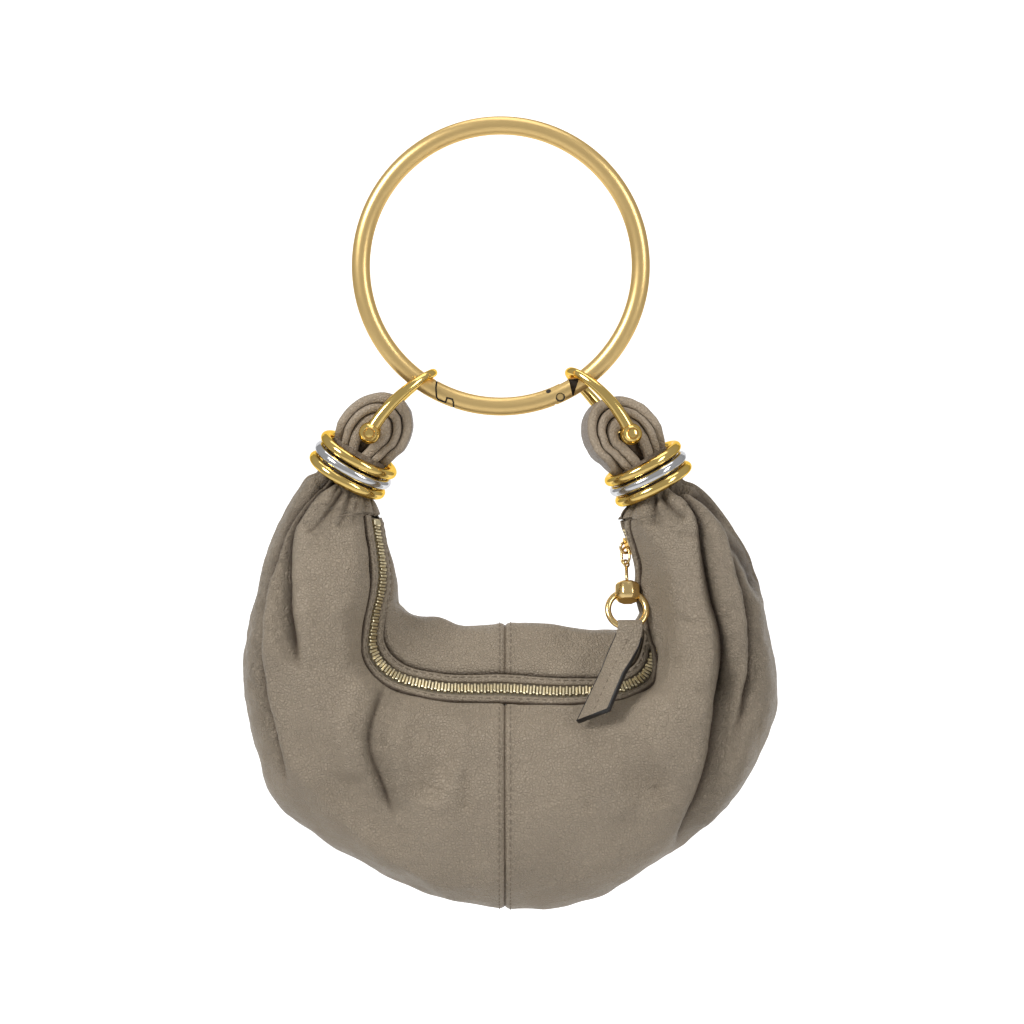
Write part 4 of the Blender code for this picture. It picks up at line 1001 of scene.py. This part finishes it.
def hinge_line(radius, first_angle, first_reach, top_angle):
    pin = hinge_centre()
    angles = [first_angle] + [top_angle - k * (top_angle + 75) / 10 for k in range(11)]
    reaches = [first_reach] + [radius] * 11
    return [pin + reach * np.array([math.cos(rad(a)), math.sin(rad(a))]) for a, reach in zip(angles, reaches)]


def gate_outline(latch, hinge):
    outside = [ring_point(a, 9.0) for a in (-12, -4, 4, 12)]
    inside = [ring_point(a, -9.0) for a in (20, 12, 4, -4, -12, -20)]
    return [tuple(p) for p in list(latch) + outside + list(hinge)[::-1] + inside]


def build_handle():
    centre = (0.0, 0.0, HANDLE_Z)
    depth = HANDLE_TUBE
    pin_at = hinge_centre()
    along = np.array([math.cos(rad(HINGE_ANGLE)), math.sin(rad(HINGE_ANGLE))])
    away = np.array([-along[1], along[0]])

    def tongue_shape(radius, reach, flare, name, half):
        turns = np.linspace(rad(HINGE_ANGLE + 90), rad(HINGE_ANGLE + 270), 13)
        arc = [pin_at + radius * np.array([math.cos(a), math.sin(a)]) for a in turns]
        wide = radius + flare * reach
        end = [pin_at + reach * along - wide * away, pin_at + reach * along + wide * away]
        return prism(name, [tuple(p) for p in arc + end], -half, half, RING_GOLD)

    def cross_pin(name, reach, radius, **options):
        ends = ((pin_at[0], -reach, pin_at[1]), (pin_at[0], reach, pin_at[1]))
        return cylinder(name, *ends, radius, 28, RING_GOLD, **options)

    def full_ring(name, tube=HANDLE_TUBE):
        return torus(name, centre, (0, 1, 0), (1, 0, 0), HANDLE_RADIUS, tube, 300, 36, RING_GOLD, ride=False)

    hole = HINGE_PIN_DIAMETER / 2 + 0.18
    handle = full_ring("ring_handle_shown")
    gap_line = hinge_line(HINGE_EAR_RADIUS + LATCH_GAP, 44.0, 13.0, 10.0)
    opening = prism("opening", gate_outline(latch_line(-LATCH_GAP / 2), gap_line), -depth, depth, RING_GOLD)
    cut(opening, tongue_shape(TONGUE_RADIUS, 14.0, 0.0, "tongue", TONGUE_THICKNESS / 2), "DIFFERENCE")
    cut(handle, opening, "DIFFERENCE")
    cut(handle, cross_pin("hole", depth, hole, ride=False), "DIFFERENCE")

    gate = full_ring("ring_gate_shown")
    ear_line = hinge_line(HINGE_EAR_RADIUS, 73.0, 12.0, 18.0)
    keep = prism("keep", gate_outline(latch_line(LATCH_GAP / 2), ear_line), -depth, depth, RING_GOLD)
    slot = tongue_shape(TONGUE_RADIUS + 0.6, 20.0, HINGE_SWEEP, "slot", TONGUE_THICKNESS / 2 + GAP)
    cut(keep, slot, "DIFFERENCE")
    cut(gate, keep, "INTERSECT")
    cut(gate, cross_pin("hole", depth, hole, ride=False), "DIFFERENCE")
    for piece, node, body in ((handle, "ring_handle", "ring"), (gate, "ring_gate", "gate")):
        piece.data.shade_smooth()
        piece.data.set_sharp_from_angle(angle=rad(35))
        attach(piece, body)
        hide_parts(node)
    face = math.sqrt((HANDLE_TUBE / 2) ** 2 - HINGE_OFFSET**2)
    shown = {"body": "ring", "slot": "gold_metal"}
    pin_radius = HINGE_PIN_DIAMETER / 2
    cross_pin("gate_pin_shown", face - 0.05, pin_radius, bevel=0.35, angle=40, node="gate_pin", **shown)

    # The latch gap and the wedge beside the hinge are painted shade: thin dark inserts fill them, where the
    # hook and the nub overlap behind the face and the gaps would lie in shadow.
    half = LATCH_GAP / 2 - 0.03
    outline = list(latch_line(half)) + list(latch_line(-half))[::-1]
    wedge = list(gap_line)[:5] + list(ear_line)[:5][::-1]
    cuts = (("latch_gap_shade", outline, depth), ("hinge_gap_shade", wedge, TONGUE_THICKNESS / 2 + 0.12))
    for name, shape, reach in cuts:
        seam = prism(name, [tuple(p) for p in shape], -reach, reach, SHADOW)
        cut(seam, full_ring("core", HANDLE_TUBE - 0.5), "INTERSECT")
        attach(seam, "ring")
    # Painted shade: dark rings round the pin's ends, where the gap round the pin falls into shadow.
    for side in (-1, 1):
        spot = (pin_at[0], side * (face - 0.12), pin_at[1])
        name = f"pin_rim_{side + 1}"
        torus(name, spot, (0, 1, 0), (1, 0, 0), pin_radius + 0.22, 0.6, 40, 10, SHADOW, **shown)
    mark_way = unit((23.05, 0.0, -60.3))
    normal = unit(-0.72 * mark_way + np.array([0.0, -0.69, 0.0]))
    spot = np.array(centre) + HANDLE_RADIUS * mark_way + (HANDLE_TUBE / 2 - 0.25) * normal
    cylinder("gate_mark", spot, spot + 0.28 * normal, 1.3, 20, SHADOW, body="gate", slot="gold_metal")


build_handle()


# Shackles, leather loops and slip rings


def shackle_frame(side):
    lean = rad(side.lean)
    crown = np.array([-side.sign * math.sin(lean), 0.0, math.cos(lean)])
    crossing = ring_point(side.sign * SHACKLE_AT)
    middle = np.array([crossing[0], 0.0, crossing[1]]) - SHACKLE_REACH * crown
    turn = Matrix.Rotation(rad(-side.sign * side.turn), 3, Vector(crown))
    pin = np.array(turn @ Vector((0.0, 1.0, 0.0)))
    return middle, crown, pin, np.cross(crown, pin)


def build_shackle(side):
    middle, crown, pin, across = shackle_frame(side)
    top = SHACKLE_REACH + HANDLE_TUBE / 2 + GAP + 0.1 + SHACKLE_BAR_AT_CROWN / 2
    count = 61
    power = 2 / SHACKLE_CURVE
    path = []
    outlines = []
    for k in range(count):
        angle = math.pi * k / (count - 1)
        high = max(2.0, top * abs(math.sin(angle)) ** power)
        out = SHACKLE_SPREAD * math.copysign(abs(math.cos(angle)) ** power, math.cos(angle))
        share = min(1.0, high / top)
        bow = side.sign * SHACKLE_BOW * 4 * share * (1 - share)
        path.append(middle + high * crown - out * pin - bow * across)
        bar = SHACKLE_BAR_AT_BALL + (SHACKLE_BAR_AT_CROWN - SHACKLE_BAR_AT_BALL) * share
        outlines.append(circle(bar / 2, 24))
    forward = [unit(path[min(k + 1, count - 1)] - path[max(k - 1, 0)]) for k in range(count)]
    forward[0] = crown
    forward[-1] = -crown
    heap = Heap()
    up = [np.cross(f, across) for f in forward]
    heap.add(swept_points(path, [across] * count, up, outlines), count, 24)
    hole = 2.35
    face = SHACKLE_BALL_FACE / 2
    ball = SHACKLE_BALL / 2
    low = math.degrees(math.asin(face / ball)) - 4.0
    rows = [(0.0, face + 0.1), (0.5 * hole, face - 0.02), (0.85 * hole, face - 0.25), (hole, face - 0.75)]
    rows += [(hole + 0.25, face - 0.7), (hole + 0.45, face - 0.1), (hole + 0.75, face)]
    rows.append((0.53 * ball, face - 0.12))
    rows += [(ball * math.cos(rad(a)), ball * math.sin(rad(a))) for a in np.linspace(low, -80, 18)]
    rows.append((0.0, -ball))
    sides = 40
    for end in (-1, 1):
        centre = middle + end * SHACKLE_SPREAD * pin
        turned = [(u, v, end * y) for r, y in rows for u, v in circle(r, sides)]
        points = [centre + u * crown + v * across + y * pin for u, v, y in turned]
        heap.add(points, len(rows), sides)
    options = {"node": f"shackle_{side.name}", "slot": "gold_metal"}
    finish(f"shackle_{side.name}_shown", heap.points, heap.faces, BRIGHT_GOLD, angle=38, **options)
    pin_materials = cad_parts[f"shackle_pin_{side.name}"].data.materials
    pin_materials.clear()
    pin_materials.append(BRIGHT_GOLD)


def loop_frame(side):
    middle, _, pin, _ = shackle_frame(side)
    ring = np.array([side.ring_x, 0.0, side.ring_z])
    up = unit(middle - ring)
    top = middle + LOOP_RISE * up
    depth = unit(pin - np.dot(pin, up) * up)
    return top, up, depth, np.cross(depth, up), float(np.linalg.norm(top - ring))


def loop_layer(side, number, layer, base_top, arcs=40, legs=26):
    """One layer's line round the pin: along across and up, its ways out, its thickness and its width."""
    rows = []
    for k in range(legs):
        q = (base_top - 5.0) * (1 - k / legs)
        share = min(1.0, q / base_top) ** 1.3
        p = layer.radius + (layer.leg_in - layer.radius) * share
        thick = layer.thickness + (layer.leg_thickness - layer.thickness) * share
        wide = LOOP_DEPTH + (layer.leg_depth - LOOP_DEPTH) * share**1.5
        rows.append((p, q, 1.0, 0.0, thick, wide))
    for k in range(arcs + 1):
        a = math.pi * k / arcs
        u, v = math.cos(a), LOOP_STRETCH * math.sin(a)
        rows.append((layer.radius * u, layer.radius * v, u, v, layer.thickness, LOOP_DEPTH))
    rows += [(-p, q, -1.0, 0.0, thick, wide) for p, q, _, _, thick, wide in rows[legs - 1::-1]]
    outlines = []
    for k, (_, _, _, _, thick, wide) in enumerate(rows):
        t = 1.10 * thick / 2
        sway = 0.22 * math.sin(k * 0.21 + number * 2.1 + side.sign) + 0.1 * math.sin(k * 0.63 + number)
        h = wide / 2 + sway - 0.9 * abs(number - 1)
        turns = [(end, a) for end in (1, -1) for a in np.linspace(0, math.pi, 11)]
        flat = h - 0.8 * t
        outlines.append([(e * t * math.cos(a), e * (flat + 0.8 * t * math.sin(a) ** 0.9)) for e, a in turns])
    # The third list is painted shade on the faces of each layer, where the layers lie against each other,
    # fading to none on the rounded edges.
    return rows, outlines, [0.7 * abs(math.cos(a)) ** 10 for _, a in turns] * len(rows)


def build_loop(side):
    """Layers of leather folded round the pin, each a soft strip with rounded, slightly wavy edges."""
    top, up, depth, across, length = loop_frame(side)
    base_top = -(length - LOOP_BASE_LENGTH - 2 * GAP)
    heap = Heap()
    painted_shade = []
    for number, layer in enumerate(LAYERS):
        rows, outlines, painted_shades = loop_layer(side, number, layer, base_top)
        path = []
        for p, q, *_ in rows:
            shift = (LOOP_SHIFT + LOOP_SKEW * max(q, 0.0)) * min(1.0, max(0.0, 1.0 + q / 4.0))
            path.append(top + p * across + q * up - side.sign * shift * RIGHT)
        out = [u * across + v * up for _, _, u, v, _, _ in rows]
        heap.add(swept_points(path, out, [depth] * len(path), outlines), len(path), 22)
        painted_shade += painted_shades
    core = [(-1.0, base_top), (1.0, base_top)]
    core += [(3.3 * math.cos(a), 3.3 * math.sin(a)) for a in np.linspace(-0.6, math.pi + 0.6, 21)]
    half = LOOP_DEPTH / 2 * 0.55 * depth
    heap.add(swept_points([top - half, top + half], [across] * 2, [up] * 2, [core] * 2), 2, len(core))
    wide, deep = 0.97 * (NECK_DIAMETER / 2 - 0.8), 0.97 * (NECK_DIAMETER / 2 - 2.0)
    stub = []
    for k in range(72):
        a = 2 * math.pi * k / 72
        ripple = 1 + 0.05 * math.sin(9 * a + side.sign) + 0.03 * math.sin(17 * a)
        stub.append((wide * ripple * math.cos(a), deep * ripple * math.sin(a)))
    ends = [top + (base_top + 1.0) * up, top - (length + 0.5) * up]
    heap.add(swept_points(ends, [across] * 2, [depth] * 2, [stub] * 2), 2, len(stub))
    # Painted shade on the core inside the fold and on the stub inside the slip rings.
    painted_shade += [1.0] * (2 * len(core)) + [0.7] * (2 * len(stub))
    points = np.array(heap.points)
    points = points + 0.16 * ripples(points, 8.0, 21)[:, None] * np.array([0.5, 0.3, 0.8])
    node = f"end_loop_{side.name}"
    made = finish(node + "_shown", points, heap.faces, LIGHTENED_LOOP_LEATHER, node=node, slot="taupe_leather")
    mark(made, "painted_shade", painted_shade)


def build_slip_rings(side):
    slope, tip = rad(side.slope), rad(side.tip)
    plane = np.array([-side.sign * math.cos(slope), 0.0, -math.sin(slope)])
    flat = np.array([-side.sign * math.sin(slope), 0.0, math.cos(slope)])
    normal = math.cos(tip) * flat + math.sin(tip) * FRONT
    middle = np.array([side.ring_x, 0.0, side.ring_z])
    radius = (SLIP_RING_INSIDE + SLIP_RING_TUBE) / 2
    for step, place in enumerate(("upper", "middle", "lower")):
        material, slot = (SILVER, "silver_metal") if place == "middle" else (BRIGHT_GOLD, "gold_metal")
        centre = middle + (1 - step) * SLIP_RING_PITCH * flat / math.cos(tip)
        node = f"{side.name}_ring_{place}"
        shape = (normal, plane, radius, SLIP_RING_TUBE, 120, 28)
        torus(node + "_shown", centre, *shape, material, node=node, slot=slot)


for side in SIDES:
    build_shackle(side)
    build_loop(side)
    build_slip_rings(side)


# Zip pull: slider, link, rod, swivel, ring and leather tab


def oval(name, centre, up, across, length, width, wire, **options):
    radius = (width - wire) / 2
    path = []
    outs = []
    for side in (1, -1):
        for k in range(25):
            angle = math.pi * (k / 24 + (side < 0))
            direction = math.cos(angle) * across + math.sin(angle) * up
            path.append(centre + side * (length - width) / 2 * up + radius * direction)
            outs.append(direction)
    flat = [np.cross(up, across)] * len(path)
    return swept(name, path, outs, flat, [circle(wire / 2, 14)] * len(path), GOLD, closed=True, **options)


def build_pull():
    low_frames, _ = zip_frames(ZIP_START - 2.0, ZIP_START - 1.0, 2)
    place, along, across, out = low_frames[0]
    stop = (place - 0.2 * out, across, along, out, (5.8, 3.4, 2.3), 0.5)
    many_blocks("zip_end_stop_shown", [stop], TEETH, node="zip_end_stop", slot="pale_gold_metal")

    frames, _ = zip_frames(SLIDER_AT, SLIDER_AT + 1.0, 2)
    place, along, across, out = frames[0]
    low = -TAPE_UNDER + CHAIN_ABOVE_TAPE + 3 * GAP
    centre = place + (low + SLIDER_HEIGHT / 2) * out
    eye = place + (low + SLIDER_HEIGHT + 1.2) * out
    slider = (centre, across, along, out, (SLIDER_WIDTH, SLIDER_LENGTH, SLIDER_HEIGHT), 0.7)
    many_blocks("zip_slider_shown", [slider], GOLD, node="zip_slider", slot="gold_metal")
    torus("slider_arch", eye - 0.3 * out, across, along, 2.6, 1.5, 48, 16, GOLD, slot="gold_metal")

    def gold(node):
        return {"node": node, "slot": "gold_metal"}

    link_up = unit((-0.06, 0.50, 1.0))
    link_across = unit(np.cross(link_up, np.cross(unit((0.6, -0.8, 0.0)), link_up)))
    link_centre = eye - (LINK_LENGTH / 2 - LINK_WIRE / 2 - 0.2) * link_up
    link = (link_centre, link_up, link_across, LINK_LENGTH, LINK_WIDTH, LINK_WIRE)
    oval("pull_link_shown", *link, **gold("pull_link"))

    rod_top = link_centre - (LINK_LENGTH / 2 - LINK_WIRE / 2 - 0.1) * link_up
    rod_down = unit((0.02, -0.55, -1.0))
    torus("rod_eye", rod_top, link_across, UP, 1.7, 1.1, 36, 12, GOLD, slot="gold_metal")
    rod_end = rod_top + PULL_ROD_LENGTH * rod_down
    rod = (rod_top + 1.6 * rod_down, rod_end, PULL_ROD_DIAMETER / 2, 20, GOLD)
    cylinder("pull_rod_shown", *rod, **gold("pull_rod"))

    swivel_top = rod_end - 1.2 * rod_down
    swivel_up = -rod_down
    side = unit(RIGHT - np.dot(RIGHT, swivel_up) * swivel_up)
    depth = np.cross(swivel_up, side)
    rows = [(-0.30, 0.16), (-0.22, 0.34), (-0.02, 0.52), (0.0, 0.56), (0.0, 0.80), (-0.02, 0.86)]
    rows += [(-0.12, 0.985), (-0.15, 1.0), (-0.70, 1.0), (-0.73, 0.985), (-0.88, 0.80)]
    rows += [(-0.91, 0.74), (-0.91, 0.2)]
    path = [swivel_top + h * SWIVEL_HEIGHT * swivel_up for h, _ in rows]
    corners = [(k + 0.5) * math.pi / 4 + turn for k in range(8) for turn in (-0.05, 0.05)]
    outlines = []
    for _, wide in rows:
        reach = SWIVEL_WIDTH / 2 * wide
        flats = [(reach * math.cos(a), reach * math.sin(a)) for a in corners]
        outlines.append(flats if wide > 0.6 else circle(reach, 16))
    swivel = (path, [side] * len(rows), [depth] * len(rows), outlines, GOLD)
    swept("pull_swivel_shown", *swivel, angle=24, **gold("pull_swivel"))

    radius = (PULL_RING_OUTSIDE - PULL_RING_WIRE) / 2
    ring_down = unit((-0.04, -0.52, -1.0))
    ring_centre = swivel_top - 0.43 * SWIVEL_HEIGHT * swivel_up + radius * ring_down
    ring_normal = unit(FRONT - np.dot(FRONT, ring_down) * ring_down)
    ring = (ring_centre, ring_normal, RIGHT, radius, PULL_RING_WIRE, 96, 24, GOLD)
    torus("pull_ring_shown", *ring, **gold("pull_ring"))
    build_tab(ring_centre + radius * unit(0.16 * RIGHT + ring_down))


def tab_frames(hung_from, count):
    """The tab's middle line: its place, face, way down and width, from the ring to the end."""
    reach = TAB_LENGTH - PULL_RING_WIRE / 2 - 5 * GAP - TAB_LAYER
    frames = []
    place = np.array(hung_from)
    for k in range(count):
        share = k / (count - 1)
        ease = min(1.0, share / 0.2)
        lean = rad(TAB_LEAN) * ease
        down = unit((-math.sin(lean), -0.44, -math.cos(lean)))
        face = unit(FRONT - np.dot(FRONT, down) * down)
        turn = Matrix.Rotation(rad(TAB_TURN) * min(1.0, share / 0.5), 3, Vector(down))
        face = np.array(turn @ Vector(face))
        if k:
            place = place + reach / (count - 1) * down
        wide = (1 + TAB_SPREAD * share) * np.cross(down, face)
        skew = TAB_SKEW * max(0.0, share - 0.7) / 0.3
        frames.append((place, face, down, wide + skew * down))
    return frames


def build_tab(hung_from):
    """A folded leather strip: pebbled faces, black painted edges and a row of stitches."""
    count = 41
    frames = tab_frames(hung_from, count)
    middle = PULL_RING_WIRE / 2 + 2 * GAP + TAB_LAYER / 2
    closed = TAB_LAYER / 2 + 0.02
    half = TAB_WIDTH / 2
    path = []
    outs = []
    wides = []

    def spread(k):
        """How much further apart the two layers are near the ring."""
        return (middle - closed) * smooth_step(max(0.0, 1.0 - k / (count - 1) / 0.24))

    def row(place, out, wide):
        path.append(place)
        outs.append(out)
        wides.append(wide)

    def leg(order, sign):
        for k in order:
            centre, face, _, wide = frames[k]
            row(centre + sign * (closed + spread(k)) * face, sign * face, wide)

    leg(range(count - 1, 0, -1), 1)
    centre, face, down, wide = frames[0]
    for angle in np.linspace(0, math.pi, 25):
        out = math.cos(angle) * face - math.sin(angle) * down
        row(centre + middle * out, out, wide)
    leg(range(1, count), -1)
    t = TAB_LAYER / 2
    outline = [(-t, -half), (t - 0.25, -half), (t, 0.3 - half), (t, half - 0.3), (t - 0.25, half), (-t, half)]
    tab = (path, outs, wides, [outline] * len(path), LEATHER)
    swept("pull_tab_shown", *tab, angle=50, node="pull_tab", slot="taupe_leather")

    def paint(side, line, across, up, reaches):
        turns = np.linspace(0, 2 * math.pi, 12, endpoint=False)
        outlines = [[(0.4 * math.cos(a), reach * math.sin(a)) for a in turns] for reach in reaches]
        swept(f"tab_edge_{side}", line, across, up, outlines, EDGE_PAINT, slot="taupe_leather")

    shown = range(4, count)
    reaches = [TAB_LAYER - 0.05 + spread(k) + 0.15 for k in shown]
    for side, sign in (("left", -1), ("right", 1)):
        edge = [frames[k][0] + sign * (half + 0.12) * frames[k][3] for k in shown]
        paint(side, edge, [frames[k][3] for k in shown], [frames[k][1] for k in shown], reaches)
    centre, face, down, wide = frames[-1]
    ends = [centre + u * wide + 0.1 * down for u in (-half - 0.3, half + 0.3)]
    paint("end", ends, [down] * 2, [face] * 2, [1.1 * TAB_LAYER] * 2)

    rows = []
    for k in range(7, count - 3, 3):
        centre, face, down, wide = frames[k]
        rows.append((centre + (closed + t + spread(k)) * face, down, wide, face))
    stitches("tab_stitches", rows, thread=0.5, length=2.2)
    centre, face, down, wide = frames[6]
    bar = [(centre + (closed + t + 0.55) * face, wide, down, face)]
    stitches("tab_bar_tack", bar, thread=0.7, length=3.2)


build_pull()


# Floor, light and camera


def paper_material(name, glow):
    made, _, shader = new_material(name)
    shader.inputs["Base Color"].default_value = (0.88, 0.88, 0.88, 1.0)
    shader.inputs["Roughness"].default_value = 0.9
    shader.inputs["Emission Color"].default_value = (1.0, 1.0, 1.0, 1.0)
    shader.inputs["Emission Strength"].default_value = glow
    return made


def build_paper():
    """A pale floor under the hanging bag, and a white sweep behind it that curves up into a wall."""
    side, start, low = 1800.0, 480.0, -640.0
    floor = [(x, y, low) for y in (-side, start) for x in (-side, side)]
    finish("floor", floor, [(0, 1, 3, 2)], paper_material("floor_paper", 0.0), ride=False)
    bend, back, height = 800.0, 2600.0, 2400.0
    turns = np.linspace(0, math.pi / 2, 16)
    run = [(start, 0.0)]
    run += [(back - bend + bend * math.sin(a), bend - bend * math.cos(a)) for a in turns]
    run.append((back, height))
    points = [(x, y, z + low) for y, z in run for x in (-side, side)]
    paper = paper_material("sweep_paper", 0.66)
    finish("sweep", points, grid_faces(len(run), 2), paper, ride=False)


def area_light(name, place, size, power):
    data = bpy.data.lights.new(name, "AREA")
    data.shape = "RECTANGLE"
    data.size, data.size_y = size
    data.energy = power
    made = bpy.data.objects.new(name, data)
    bpy.context.collection.objects.link(made)
    made.location = place
    made.rotation_euler = (Vector((0.0, 0.0, -0.22)) - Vector(place)).to_track_quat("-Z", "Y").to_euler()


build_paper()
area_light("key", (-0.78, -0.66, 0.48), (0.40, 0.40), 9.5)
area_light("side", (0.85, -0.75, 0.25), (0.3, 0.7), 4.6)
area_light("top", (0.05, 0.05, 0.85), (0.9, 0.5), 2.5)

world = bpy.data.worlds.new("studio")
world.use_nodes = True
background = world.node_tree.nodes["Background"]
background.inputs["Color"].default_value = (1.0, 1.0, 1.0, 1.0)
background.inputs["Strength"].default_value = 0.42
bpy.context.scene.world = world

CAMERA_DISTANCE = 1.2
CAMERA_LIFT = 3.0
SENSOR_WIDTH = 36.0
SHOWN_WIDTH = 0.512
target = Vector((5.55, 0.0, -187.35)) * MM
camera_data = bpy.data.cameras.new("camera")
camera_data.lens = SENSOR_WIDTH * CAMERA_DISTANCE / SHOWN_WIDTH
camera = bpy.data.objects.new("camera", camera_data)
bpy.context.collection.objects.link(camera)
lift = rad(CAMERA_LIFT)
camera.location = target + CAMERA_DISTANCE * Vector((0.0, -math.cos(lift), math.sin(lift)))
camera.rotation_euler = (target - camera.location).to_track_quat("-Z", "Y").to_euler()
bpy.context.scene.camera = camera
bpy.context.scene.view_settings.view_transform = "Standard"
